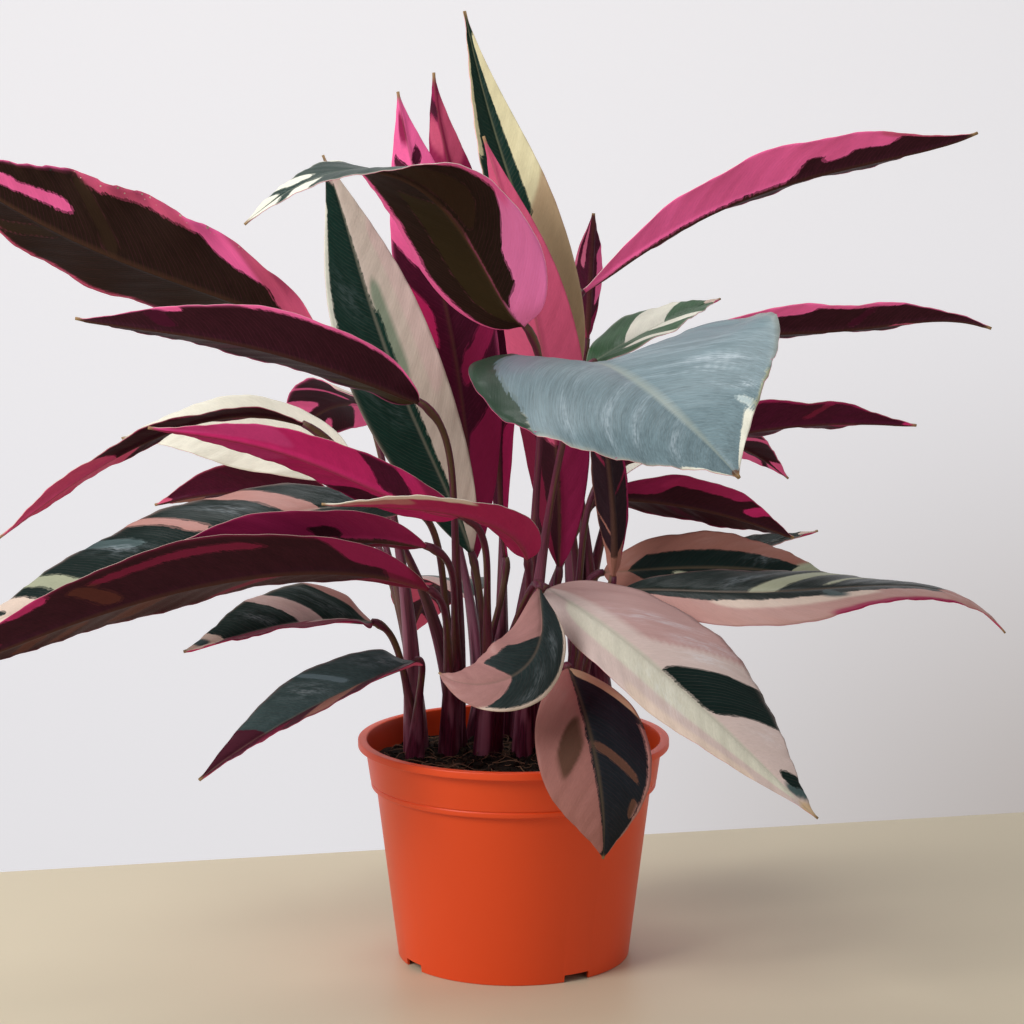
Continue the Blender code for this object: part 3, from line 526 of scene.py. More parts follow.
# How fine the pieces are made
BLADE_ROWS = 100
BLADE_COLUMNS = 36
STALK_ROWS = 46
STALK_SIDES = 18
POT_SIDES = 168
SOIL_SIDES = 120
SOIL_RINGS = 60

# The relief of a blade: its thickness, its rib underneath, the crease above the rib, and the low folds
BLADE_THICKNESS = 0.8 * MM
RIB_DEPTH = 1.5 * MM
RIB_WIDTH = 1.3 * MM
CREASE_DEPTH = 0.5 * MM
CREASE_WIDTH = 1.4 * MM
FOLD_HEIGHT = 0.14 * MM
LONG_FOLD = 17 * MM
SHORT_FOLD = 9.3 * MM

# A vein leaves the midrib forwards: it gets this much further along the blade for each step out
VEIN_SLANT = 1.15
VEIN_SPACING = 3.1 * MM

# How softly a stroke begins and ends, in veins and on the way out
VEIN_EDGE = 0.03
OUT_EDGE = 0.14

# The height in mm of the small waves of the left and the right margin, and their spacing in mm
CALM = (0.35, 0.35, 23)
RUFFLES = {
    "blade_upper_left": (1.5, 0.3, 19),
    "blade_silver": (0.8, 0.9, 31),
    "blade_pale_right": (0.5, 0.5, 27),
}

# Painted sheen: where a pale bluish white is painted on a blade in soft streaks along the veins, standing in
# for
# reflected light: side, vein, how wide in veins, the place and the spread on the way out, and strength
PAINTED_SHEEN_STREAKS = {
    "blade_silver": [
        (-1, 0.30, 0.035, 0.50, 0.24, 0.85),
        (-1, 0.38, 0.020, 0.35, 0.22, 0.55),
        (-1, 0.48, 0.025, 0.66, 0.22, 0.80),
        (-1, 0.10, 0.09, 0.45, 0.35, 0.30),
        (1, 0.17, 0.030, 0.60, 0.40, 0.35),
        (1, 0.38, 0.025, 0.50, 0.45, 0.42),
        (1, 0.52, 0.015, 0.45, 0.40, 0.45),
        (1, 0.70, 0.020, 0.40, 0.40, 0.50),
    ],
    "blade_pale_right": [
        (-1, 0.17, 0.030, 0.55, 0.26, 0.65),
        (-1, 0.27, 0.022, 0.72, 0.20, 0.80),
        (-1, 0.36, 0.020, 0.60, 0.22, 0.60),
        (-1, 0.68, 0.030, 0.62, 0.25, 0.30),
        (1, 0.45, 0.10, 0.40, 0.30, 0.25),
    ],
    "blade_dark_left": [
        (1, 0.10, 0.05, 0.45, 0.30, 0.20),
        (1, 0.32, 0.03, 0.50, 0.30, 0.26),
        (1, 0.56, 0.03, 0.45, 0.28, 0.28),
        (-1, 0.30, 0.05, 0.40, 0.30, 0.16),
    ],
    "blade_small_left": [(1, 0.14, 0.05, 0.45, 0.3, 0.16), (1, 0.52, 0.06, 0.40, 0.3, 0.20)],
    "blade_trailing_left": [(1, 0.12, 0.05, 0.5, 0.3, 0.26), (1, 0.42, 0.06, 0.5, 0.3, 0.30)],
    "blade_curled": [(-1, 0.25, 0.05, 0.45, 0.3, 0.16), (-1, 0.42, 0.05, 0.60, 0.3, 0.18)],
    "blade_striped_right": [(-1, 0.25, 0.04, 0.5, 0.3, 0.22), (-1, 0.58, 0.05, 0.5, 0.3, 0.30)],
    "blade_dark_right": [(1, 0.45, 0.05, 0.5, 0.3, 0.14), (-1, 0.60, 0.05, 0.3, 0.2, 0.18)],
    "blade_green_flag": [(-1, 0.35, 0.04, 0.5, 0.3, 0.10), (-1, 0.62, 0.05, 0.5, 0.3, 0.10)],
    "blade_rear_left": [(1, 0.25, 0.05, 0.5, 0.3, 0.18), (-1, 0.55, 0.05, 0.5, 0.3, 0.18)],
    "blade_rear_middle": [(1, 0.40, 0.05, 0.5, 0.3, 0.18), (-1, 0.70, 0.05, 0.5, 0.3, 0.18)],
    "blade_rear_right": [(-1, 0.45, 0.05, 0.5, 0.3, 0.18), (1, 0.55, 0.05, 0.5, 0.3, 0.16)],
}

# The soft swelling of a stalk below its blade, the free edge of its sheath, and the flutes of the sheath
JOINT_SWELL = 0.7 * MM
SHEATH_EDGE = 0.9 * MM
FLUTE_HEIGHT = 0.25 * MM
FLUTES = 5

# The crumbs and the fine roots on the soil
SOIL_CRUMBS = 900
CRUMB_SINK = 0.25
SOIL_ROOTS = 170
ROOT_ROWS = 14
ROOT_SIDES = 3
ROOT_REACH = 76 * MM
ROOT_LIMIT = 80 * MM

# The photograph's camera, fitted to the pot: the width of its film in mm, its focal length in the
# picture's own pixels, its place in metres, how far it looks down, and how far the picture is moved sideways
FILM_WIDTH = 36
FOCAL_PIXELS = 2735
PICTURE_PIXELS = 1024
CAMERA_PLACE = (0, -1.634, 0.515)
CAMERA_DOWN = math.radians(8.4)
CAMERA_SHIFT = -0.0015

# The lights of the studio: place, size, watts. All of them look at the middle of the plant.
PLANT_MIDDLE = (0, 0, 0.3)
LIGHTS = {
    "key": ((-1.5, -1.1, 1.5), (1.1, 1.1), 42),
    "fill": ((1.6, -1.4, 0.8), (1.6, 1.6), 3),
    "top": ((-0.2, 0.5, 1.7), (1.0, 0.5), 9),
}

# The far edge of the table, from left to right, a little askew as in the photograph, and the wall behind it
TABLE_LEFT = (-2.4, -0.278, 0)
TABLE_RIGHT = (2.4, 0.780, 0)
TABLE_FRONT = -2.5
WALL_HALF_WIDTH = 4
WALL_PLACE = 1.9
WALL_FOOT = -1.2
WALL_TOP = 3


class Socket:
    """One socket of a material's nodes, on which ordinary arithmetic adds Math nodes."""

    def __init__(self, tree, socket):
        self.tree = tree
        self.socket = socket

    def node(self, kind, settings=None, **inputs):
        """Adds a node, applies its settings, then fills its sockets by name, or by number as s0, s1."""
        made = self.tree.nodes.new(kind)
        for name, value in (settings or {}).items():
            setattr(made, name, value)
        for name, value in inputs.items():
            numbered = name[0] == "s" and name[1:].isdigit()
            target = made.inputs[int(name[1:]) if numbered else name]
            if isinstance(value, Socket):
                self.tree.links.new(value.socket, target)
            else:
                target.default_value = value
        return made

    def out(self, made, name=0):
        return Socket(self.tree, made.outputs[name])

    def math(self, operation, *values):
        inputs = {"s" + str(i): value for i, value in enumerate(values)}
        return self.out(self.node("ShaderNodeMath", {"operation": operation}, **inputs))

    def __add__(self, other):
        return self.math("ADD", self, other)

    def __radd__(self, other):
        return self.math("ADD", other, self)

    def __sub__(self, other):
        return self.math("SUBTRACT", self, other)

    def __rsub__(self, other):
        return self.math("SUBTRACT", other, self)

    def __mul__(self, other):
        return self.math("MULTIPLY", self, other)

    def __rmul__(self, other):
        return self.math("MULTIPLY", other, self)

    def sine(self):
        return self.math("SINE", self)

    def step(self, low, high):
        """0 below low, 1 above high, smooth between."""
        smooth = {"interpolation_type": "SMOOTHSTEP"}
        return self.out(self.node("ShaderNodeMapRange", smooth, s0=self, s1=low, s2=high))

    def mix(self, dark, light):
        """The first colour where this value is 0, and the second where it is 1."""
        made = self.node("ShaderNodeMix", {"data_type": "RGBA"}, s0=self, s6=dark, s7=light)
        return self.out(made, 2)

    def noise(self, scale, detail=2.0, rough=0.5):
        """Fractal noise of about 0 to 1 on this vector."""
        inputs = {"Vector": self, "Scale": scale, "Detail": detail, "Roughness": rough}
        return self.out(self.node("ShaderNodeTexNoise", **inputs), "Fac")

    def tinted(self, factor):
        """This colour times a number or a value."""
        return self.out(self.node("ShaderNodeVectorMath", {"operation": "SCALE"}, s0=self, Scale=factor))


class Material:
    """A material with one Principled shader, whose finish is set on the shader's own sockets."""

    def __init__(self, name, roughness=0.5, **finish):
        self.data = bpy.data.materials.new(name)
        self.data.use_nodes = True
        self.tree = self.data.node_tree
        self.shader = self.tree.nodes["Principled BSDF"]
        self.start = Socket(self.tree, None)
        self.shader.inputs["Roughness"].default_value = roughness
        for socket, value in finish.items():
            self.shader.inputs[socket.replace("_", " ")].default_value = value

    def place(self):
        """Object coordinates, in metres."""
        return self.start.out(self.start.node("ShaderNodeTexCoord"), "Object")

    def attribute(self, name, output="Fac"):
        return self.start.out(self.start.node("ShaderNodeAttribute", {"attribute_name": name}), output)

    def vector(self, x, y, z=0.0):
        return self.start.out(self.start.node("ShaderNodeCombineXYZ", None, X=x, Y=y, Z=z))

    def solid(self):
        """The Principled shader's own output."""
        return Socket(self.tree, self.shader.outputs["BSDF"])

    def feed(self, socket, value):
        self.tree.links.new(value.socket, self.shader.inputs[socket])

    def bump(self, height, depth, strength=1.0):
        """Relief of the given depth in metres."""
        made = self.start.node("ShaderNodeBump", None, Height=height, Strength=strength, Distance=depth)
        self.feed("Normal", self.start.out(made))


def leaf_face(name, roughness, sheen_coat, stripe, rim, through):
    """One side of a blade. Its pale and dark colours and its stroke field come with the mesh.

    The field is cut at zero after streaks that run along the veins are added, so strokes end in feathers,
    and a tone between the two fringes them. Thin threads of the pale colour follow the veins. A pale bluish
    white is painted in streaks as sheen where the mesh carries it, and a painted glow in the blade's own
    colour stands in for a little light that comes through it."""
    face = Material(name, roughness, Coat_Weight=sheen_coat, Coat_Roughness=0.22, Specular_IOR_Level=0.09)
    vein = face.attribute("vein")
    out = face.attribute("out")
    field = face.attribute("field")
    streaks = face.vector(vein * 900.0, out * 9.0, face.attribute("seed") * 17.0).noise(1.0, 3.0, 0.6)
    broad = face.vector(vein * 160.0, out * 3.0, face.attribute("seed") * 31.0).noise(1.0, 2.0)
    edge = field + (streaks - 0.5) * 0.42 + (broad - 0.5) * 0.55
    pale = edge.step(-0.02, 0.02)
    flecks = face.vector(vein * 420.0, out * 4.0, 5.0).noise(1.0, 2.0)
    fringe = edge.step(-0.24, -0.20) * flecks.step(0.38, 0.50)
    fine = face.vector(vein * 2600.0, out * 14.0, 2.0).noise(1.0, 2.0)
    dark_shade = 0.05 + 0.5 * fine + 0.9 * streaks + 0.6 * broad
    light_shade = 0.68 + 0.20 * fine + 0.22 * streaks + 0.16 * broad
    dark_tone = face.attribute("dark", "Color").tinted(dark_shade)
    light_tone = face.attribute("pale", "Color").tinted(light_shade)
    between = (fringe * 0.34).mix(dark_tone, light_tone)
    colour = pale.mix(between, light_tone)
    ridge = (vein * (2 * math.pi / VEIN_SPACING) + (broad - 0.5) * 8.0).sine()
    thread = ridge.step(0.86, 1.0)
    colour = (thread * stripe).mix(colour, face.attribute("pale", "Color"))
    colour = (face.attribute("midrib") * 0.42).mix(colour, face.attribute("rib", "Color"))
    colour = (face.attribute("margin") * rim).mix(colour, face.attribute("pale", "Color"))
    # Painted sheen: a pale bluish white mixed into the colour in streaks, standing in for reflected light
    shine = face.attribute("gloss") * streaks.step(0.30, 0.70) * broad.step(0.35, 0.60)
    colour = shine.mix(colour, (0.62, 0.68, 0.73, 1))
    colour = face.attribute("dry").mix(colour, (0.30, 0.19, 0.09, 1))
    face.feed("Base Color", colour)
    face.feed("Roughness", roughness + 0.10 * (fine - 0.5) + 0.06 * pale)
    face.bump(ridge * broad * 0.2 + fine * 0.5 + streaks * 0.6, 0.00015, 0.8)
    # Painted glow: the colour glows a little, standing in for light that comes through the blade
    face.feed("Emission Color", colour)
    face.shader.inputs["Emission Strength"].default_value = through
    return face.data


def stalk_skin():
    """Maroon with olive-brown patches that run lengthways, paler and pinker down on the sheath."""
    skin = Material("stalk skin", 0.45, Coat_Weight=0.06, Coat_Roughness=0.35, Specular_IOR_Level=0.3)
    along = skin.attribute("along")
    around = skin.attribute("around")
    seed = skin.attribute("seed")
    grain = skin.vector(along * 12.0, around * 26.0, seed * 13.0).noise(1.0, 3.0, 0.6)
    patch = skin.vector(along * 3.0, around * 2.2, seed * 7.0).noise(1.0, 2.0)
    maroon = skin.vector(0.175, 0.022, 0.060)
    dark = skin.vector(0.060, 0.010, 0.024)
    olive = skin.vector(0.130, 0.080, 0.032)
    pink = skin.vector(0.46, 0.17, 0.25)
    colour = grain.step(0.35, 0.65).mix(dark, maroon)
    colour = (patch.step(0.46, 0.62) * along.step(0.25, 0.75) * 0.85).mix(colour, olive)
    colour = (patch.step(0.55, 0.40) * along.step(0.65, 0.15) * 0.8).mix(colour, pink)
    skin.feed("Base Color", colour)
    skin.feed("Roughness", 0.36 + 0.2 * grain)
    skin.bump(grain, 0.0004, 0.8)
    return skin.data


def pot_plastic():
    """Satin orange polypropylene, with faint flow marks and a fine grain."""
    plastic = Material("orange moulded plastic", 0.42, Specular_IOR_Level=0.45)
    place = plastic.place()
    cloud = place.noise(9.0, 3.0)
    grain = place.noise(1400.0, 2.0)
    colour = (cloud * 0.35).mix(plastic.vector(0.80, 0.070, 0.008), plastic.vector(0.72, 0.058, 0.008))
    plastic.feed("Base Color", colour)
    plastic.feed("Roughness", 0.36 + 0.12 * cloud)
    plastic.bump(grain, 0.00006, 0.6)
    return plastic.data


def potting_soil():
    """Near-black peat with brown flecks."""
    soil = Material("potting soil", 0.95, Specular_IOR_Level=0.2)
    place = soil.place()
    fleck = place.noise(420.0, 4.0, 0.7)
    damp = place.noise(40.0, 2.0)
    colour = fleck.step(0.42, 0.72).mix(soil.vector(0.010, 0.007, 0.005), soil.vector(0.060, 0.036, 0.021))
    colour = (damp.step(0.4, 0.6) * 0.5).mix(colour, soil.vector(0.008, 0.006, 0.005))
    soil.feed("Base Color", colour)
    soil.bump(fleck, 0.0012, 1.0)
    return soil.data


def root_skin():
    """Light brown that turns to dark brown from root to root."""
    root = Material("fine roots", 0.8)
    place = root.place()
    colour = place.noise(90.0, 2.0).mix(root.vector(0.32, 0.17, 0.090), root.vector(0.05, 0.028, 0.017))
    root.feed("Base Color", colour)
    return root.data


def unit(vectors):
    """Each vector over its own length."""
    return vectors / np.linalg.norm(vectors, axis=-1, keepdims=True)


def smooth_step(values):
    """0 below 0, 1 above 1, and three squares less two cubes between."""
    values = np.clip(values, 0, 1)
    return values * values * (3 - 2 * values)


def spine_curve(points_mm, count):
    """Points and directions at equal steps along the polynomial that runs through the spine's points."""
    points = np.array(points_mm, float) * MM
    chords = np.linalg.norm(np.diff(points, axis=0), axis=1)
    knots = np.concatenate([[0], np.cumsum(chords)]) / chords.sum()
    order = len(points) - 1
    fine = np.linspace(0, 1, SPINE_SAMPLES)
    path = np.stack([np.polyval(np.polyfit(knots, axis, order), fine) for axis in points.T], axis=1)
    run = np.concatenate([[0], np.cumsum(np.linalg.norm(np.diff(path, axis=0), axis=1))])
    steps = np.linspace(0, run[-1], count)
    places = np.stack([np.interp(steps, run, axis) for axis in path.T], axis=1)
    directions = unit(np.gradient(places, axis=0))
    return places, directions, run[-1]


def outline(along, widest):
    """The blade's half width as a share of its widest: a sine whose top is moved to the widest place,
    blunt at the neck and drawn out at the tip."""
    turned = along ** (math.log(0.5) / math.log(widest))
    blunt = 0.72 + 0.42 * smooth_step((along - widest) / (1 - widest))
    return np.sin(np.pi * np.clip(turned, 0, 1)) ** blunt


def blade_surface(leaf, rows, columns):
    """The blade's upper surface as an array of rows by columns of points, and its normals at the spine.

    A row is an arc on each side of the spine: it leaves at the fold angle and bends down by the droop
    angle at the margin. The margins carry a sine wave that fades at both ends."""
    places, ahead, _ = spine_curve(leaf.spine, rows)
    along = np.linspace(0, 1, rows)[:, None]
    looks = np.array(leaf.faces) * (1 - smooth_step(along)) + np.array(leaf.tip_faces) * smooth_step(along)
    normal = unit(looks - (looks * ahead).sum(1, keepdims=True) * ahead)
    side = np.cross(ahead, normal)
    half = np.maximum(
        leaf.width * MM / 2 * outline(along, leaf.widest),
        (NECK_WIDTH * (1 - along) + TIP_WIDTH * along) / 2,
    )
    across = np.linspace(-1, 1, columns)[None, :]
    fade = smooth_step(along / 0.12)
    fold = np.radians(leaf.fold) * fade
    droop = np.radians(leaf.droop) * fade + 1e-6
    reach = np.abs(across)
    half = half * np.where(across < 0, leaf.halves[0], leaf.halves[1])
    out = half * (np.sin(fold) - np.sin(fold - droop * reach)) / droop
    lift = half * (np.cos(fold - droop * reach) - np.cos(fold)) / droop
    height, count = leaf.waves
    ripple = np.sin(2 * np.pi * count * along + np.sign(across) * 1.3) * np.sin(np.pi * along)
    lift = lift + height * MM * reach**2 * ripple
    out = (out * np.sign(across))[..., None]
    points = places[:, None] + side[:, None] * out + normal[:, None] * lift[..., None]
    return points, normal


def grid_faces(rows, columns, closed=False, flip=False):
    """Quads of a grid of rows by columns of points. A closed grid joins its last column to its first."""
    first = np.arange(rows - 1)[:, None] * columns
    steps = np.arange(columns if closed else columns - 1)[None, :]
    after = (steps + 1) % columns
    corners = [first + steps, first + after, first + columns + after, first + columns + steps]
    quads = np.stack(corners, axis=-1).reshape(-1, 4)
    return quads[:, ::-1] if flip else quads


def put_mesh(name, points, faces, materials, which=None, smooth=True):
    """A mesh object of the points and faces, all of as many corners, and which material each face has."""
    mesh = bpy.data.meshes.new(name)
    mesh.vertices.add(len(points))
    mesh.vertices.foreach_set("co", np.ascontiguousarray(points, np.float32).ravel())
    mesh.loops.add(faces.size)
    mesh.loops.foreach_set("vertex_index", np.ascontiguousarray(faces, np.int32).ravel())
    mesh.polygons.add(len(faces))
    mesh.polygons.foreach_set("loop_start", np.arange(0, faces.size, faces.shape[1], dtype=np.int32))
    mesh.polygons.foreach_set("use_smooth", np.full(len(faces), smooth))
    for material in materials:
        mesh.materials.append(material)
    if which is not None:
        mesh.polygons.foreach_set("material_index", np.ascontiguousarray(which, np.int32))
    mesh.update()
    mesh.validate()
    piece = bpy.data.objects.new(name, mesh)
    bpy.context.scene.collection.objects.link(piece)
    return piece


def put_value(mesh, name, values):
    """Keeps one number for each point of the mesh."""
    kept = mesh.attributes.new(name, "FLOAT", "POINT")
    kept.data.foreach_set("value", np.asarray(values, np.float32).ravel())


def put_colour(mesh, name, colours):
    """Keeps one colour for each point of the mesh, in linear light."""
    kept = mesh.attributes.new(name, "FLOAT_COLOR", "POINT")
    whole = np.concatenate([colours, np.ones((len(colours), 1))], axis=1)
    kept.data.foreach_set("color", whole.astype(np.float32).ravel())


def rides(piece, slot, *nodes):
    """Ties the piece to the plant's one body, in place of the nodes that it dresses."""
    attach(piece, "root")
    if nodes:
        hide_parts(*nodes)
    return piece


def paint(strokes, pale, vein, out, own_colours):
    """The stroke field from -1 to 1 and the pale colour at every point.

    A stroke is a box in veins by way out with rounded corners. Its depth is 1 well inside, 0 at its edge and
    less outside. Each stroke in turn raises the field to its depth, or lowers it to minus its depth when it
    is a dark one. Its colour reaches a little further out than its edge."""
    field = np.full(vein.shape, -1.0)
    colour = np.ones(vein.shape + (3,)) * np.array(pale)
    for side, first, last, start, end, tint in strokes:
        lengthways = np.minimum(np.minimum(vein - first, last - vein) / VEIN_EDGE, 1)
        sideways = np.minimum(np.minimum(np.abs(out) - start, end - np.abs(out)) / OUT_EDGE, 1)
        depth = 1 - np.hypot(1 - lengthways, 1 - sideways)
        if side:
            depth = np.where(out * side > -0.01, depth, -1.0)
        if tint == "dark":
            field = np.minimum(field, -depth)
            continue
        field = np.maximum(field, depth)
        shown = tint if tint is not None and own_colours else pale
        cover = smooth_step((depth + 0.95) / 0.8)[..., None]
        colour = colour * (1 - cover) + np.array(shown) * cover
    return np.clip(field, -1, 1), colour


def shine(name, vein, out):
    """The painted sheen at every point: the greatest of its streaks, each a bell along and a bell across."""
    found = np.zeros(vein.shape)
    for side, place, width, middle, spread, strength in PAINTED_SHEEN_STREAKS.get(name, []):
        bell = np.exp(-(((vein - place) / width) ** 2) - ((np.abs(out) - middle) / spread) ** 2)
        found = np.maximum(found, strength * bell * (out * side > 0))
    return found


def both(values):
    """The same values for the upper and for the under points of a blade, as one flat array."""
    return np.concatenate([values.ravel(), values.ravel()])


def make_blade(leaf, seed):
    """The part's own blade surface on a fine grid, as a closed body of two faces and a thin wall round them.

    The upper face has low folds of two sines along the veins, a wave that grows with the sixth power of the
    way out, and a bell-shaped crease along the midrib. The under face lies a thickness below, and the height
    of a bell-shaped rib lower along the midrib. The pattern comes as values and colours of the points."""
    look = LOOKS[leaf.name]
    rows, columns = BLADE_ROWS + 1, BLADE_COLUMNS + 1
    upper, normal = blade_surface(leaf, rows, columns)
    length = spine_curve(leaf.spine, rows)[2]
    along = np.linspace(0, 1, rows)[:, None] * np.ones((1, columns))
    out = np.linspace(-1, 1, columns)[None, :] * np.ones((rows, 1))
    spine = upper[:, columns // 2][:, None]
    distance = np.linalg.norm(upper - spine, axis=-1)
    vein = along * length - VEIN_SLANT * distance * (0.65 + 0.5 * np.abs(out))
    reach = np.abs(out)
    down = np.gradient(upper, axis=0)
    across = np.gradient(upper, axis=1)
    facing = unit(np.cross(across, down))
    facing = facing * np.sign((facing * normal[:, None]).sum(-1, keepdims=True))
    swell = smooth_step(along / 0.08) * smooth_step((1 - along) / 0.05)
    folds = np.sin(vein * math.tau / LONG_FOLD + seed) + 0.6 * np.sin(vein * math.tau / SHORT_FOLD + 2 * seed)
    corrugation = FOLD_HEIGHT * folds * (1 - reach**4) * smooth_step(reach / 0.2)
    left, right, period = RUFFLES.get(leaf.name, CALM)
    turn = vein * math.tau / (period * MM)
    height = np.where(out < 0, left, right) * MM
    ruffle = height * reach**6 * (np.sin(turn + seed) + 0.4 * np.sin(turn * 2.3))
    crease = -CREASE_DEPTH * np.exp(-((distance / CREASE_WIDTH) ** 2)) * swell
    upper = upper + facing * ((corrugation + ruffle) * swell + crease)[..., None]
    rib = RIB_DEPTH * (1 - 0.75 * along) * np.exp(-((distance / RIB_WIDTH) ** 2))
    under = upper - facing * (BLADE_THICKNESS * (1 - 0.35 * reach**3) + rib)[..., None]
    points = np.concatenate([upper.reshape(-1, 3), under.reshape(-1, 3)])
    count = rows * columns
    top = grid_faces(rows, columns)
    bottom = grid_faces(rows, columns, flip=True) + count
    ring = np.concatenate(
        [
            np.arange(columns),
            np.arange(2, rows) * columns - 1,
            [rows * columns - 1],
            np.arange(rows * columns - 2, (rows - 1) * columns - 1, -1),
            np.arange(rows - 2, 0, -1) * columns,
        ]
    )
    after = np.roll(ring, -1)
    wall = np.stack([ring, ring + count, after + count, after], axis=1)
    quads = np.concatenate([top, bottom, wall])
    which = np.concatenate([np.zeros(len(top)), np.ones(len(bottom)), np.ones(len(wall))])
    piece = put_mesh(leaf.name + "_dressed", points, quads, [LEAF_UPPER, LEAF_UNDER], which)
    mesh = piece.data
    share = vein / length
    put_value(mesh, "vein", both(vein))
    put_value(mesh, "out", both(out))
    put_value(mesh, "seed", np.full(2 * count, float(seed)))
    above = paint(look.strokes, look.pale, share, out, look.side == "U")
    beneath = paint(look.strokes, look.under_pale, share, out, look.side == "D")
    put_value(mesh, "field", both(above[0]))
    put_value(mesh, "midrib", both(np.exp(-((distance / (0.75 * MM * (1.2 - along))) ** 2))))
    put_value(mesh, "margin", both(smooth_step((reach - 0.93) / 0.06)))
    put_value(mesh, "dry", both(smooth_step((along - 0.975) / 0.02)))
    # Painted sheen, on the upper face only
    put_value(mesh, "gloss", np.concatenate([shine(leaf.name, share, out).ravel(), np.zeros(count)]))
    put_colour(mesh, "pale", np.concatenate([above[1].reshape(-1, 3), beneath[1].reshape(-1, 3)]))
    dark = [np.tile(np.array(colour), (count, 1)) for colour in (look.dark, look.under_dark)]
    put_colour(mesh, "dark", np.concatenate(dark))
    rib_above = 0.45 * np.array(look.pale) + np.array([0.02, 0.05, 0.02])
    ribs = [np.tile(np.array(colour), (count, 1)) for colour in (rib_above, (0.13, 0.06, 0.035))]
    put_colour(mesh, "rib", np.concatenate(ribs))
    return rides(piece, "leaf", leaf.name)


def outward(piece):
    """Turns the faces of a closed mesh outwards."""
    edit = bmesh.new()
    edit.from_mesh(piece.data)
    bmesh.ops.recalc_face_normals(edit, faces=edit.faces)
    edit.to_mesh(piece.data)
    edit.free()


def stalk_points(leaf):
    """A cubic from the foot in the soil, leaving upwards, to the neck, arriving along the blade's spine."""
    (x, y), turn = SHOOTS[leaf.shoot]
    turn = math.radians(turn)
    fan = Vector((math.cos(turn), math.sin(turn), 0)) * leaf.rank * STALK_SPACING
    foot = Vector((x * MM, y * MM, STALK_FOOT_HEIGHT)) + fan
    places, ahead, _ = spine_curve(leaf.spine, SPINE_SAMPLES)
    neck = Vector(places[0])
    arrive = Vector(ahead[0])
    end = neck - arrive * STALK_END
    reach = (end - foot).length
    rise = foot + Vector((0, 0, 1)) * reach * 0.5
    lead = end - arrive * reach * 0.12
    found = []
    for t in np.linspace(0, 1, STALK_POINTS):
        ends = (1 - t) ** 3 * foot + t**3 * end
        found.append(ends + 3 * (1 - t) ** 2 * t * rise + 3 * (1 - t) * t**2 * lead)
    return found + [neck]


def stalk_tube(leaf, seed):
    """A tube along the polynomial that fits the stalk's own points, which it joins exactly at the blade.

    Its radius falls from the sheath to the slim neck and swells at the joint just below the blade. The sheath
    has low flutes, and its free edge stands a little proud along one side."""
    controls = np.array([tuple(point) for point in stalk_points(leaf)])
    run = np.concatenate([[0], np.cumsum(np.linalg.norm(np.diff(controls, axis=0), axis=1))])
    steps = np.linspace(0, run[-1], STALK_ROWS)
    share = steps / run[-1]
    fits = [np.polyfit(run / run[-1], axis, STALK_ORDER) for axis in controls.T]
    path = np.stack([np.polyval(fit, share) for fit in fits], axis=1)
    ease = smooth_step((share - 0.9) / 0.1)[:, None]
    exact = np.stack([np.interp(steps, run, axis) for axis in controls.T], axis=1)
    path = path * (1 - ease) + exact * ease
    ahead = unit(np.gradient(path, axis=0))
    first = unit(np.cross(ahead, np.array([0.35, 0.9, 0.2])))
    second = np.cross(ahead, first)
    turn = np.linspace(0, 2 * np.pi, STALK_SIDES, endpoint=False)
    around = turn / (2 * np.pi)
    radius = NECK_RADIUS + (SHEATH_RADIUS - NECK_RADIUS) * (1 - smooth_step(share / 0.7))
    radius = radius * (1 + 0.12 * (1 - smooth_step(share / 0.6)))
    joint = JOINT_SWELL * np.exp(-(((share - 0.955) / 0.03) ** 2))
    sheath = (1 - smooth_step((share - 0.42) / 0.1))[:, None]
    fold = sheath * SHEATH_EDGE * smooth_step(1 - np.abs(turn[None, :] - 2.0 - 0.8 * share[:, None]) / 0.5)
    flute = FLUTE_HEIGHT * np.sin(turn * FLUTES + seed)[None, :] * sheath
    size = (radius + joint)[:, None] + fold + flute
    points = path[:, None] + size[..., None] * (
        np.cos(turn)[None, :, None] * first[:, None] + np.sin(turn)[None, :, None] * second[:, None]
    )
    rows = STALK_ROWS
    ends = np.stack([path[0], path[-1]])
    points = np.concatenate([points.reshape(-1, 3), ends])
    quads = grid_faces(rows, STALK_SIDES, closed=True)
    low = np.arange(STALK_SIDES)
    high = low + (rows - 1) * STALK_SIDES
    foot = np.stack([low, np.roll(low, -1), np.full(STALK_SIDES, rows * STALK_SIDES)], axis=1)
    head = np.stack([np.roll(high, -1), high, np.full(STALK_SIDES, rows * STALK_SIDES + 1)], axis=1)
    values = {
        "along": np.concatenate([np.repeat(share, STALK_SIDES), [0, 1]]),
        "around": np.concatenate([np.tile(np.abs(around - 0.5) * 2, rows), [0, 0]]),
        "seed": np.full(len(points), float(seed)),
    }
    return points, quads, np.concatenate([foot, head]), values


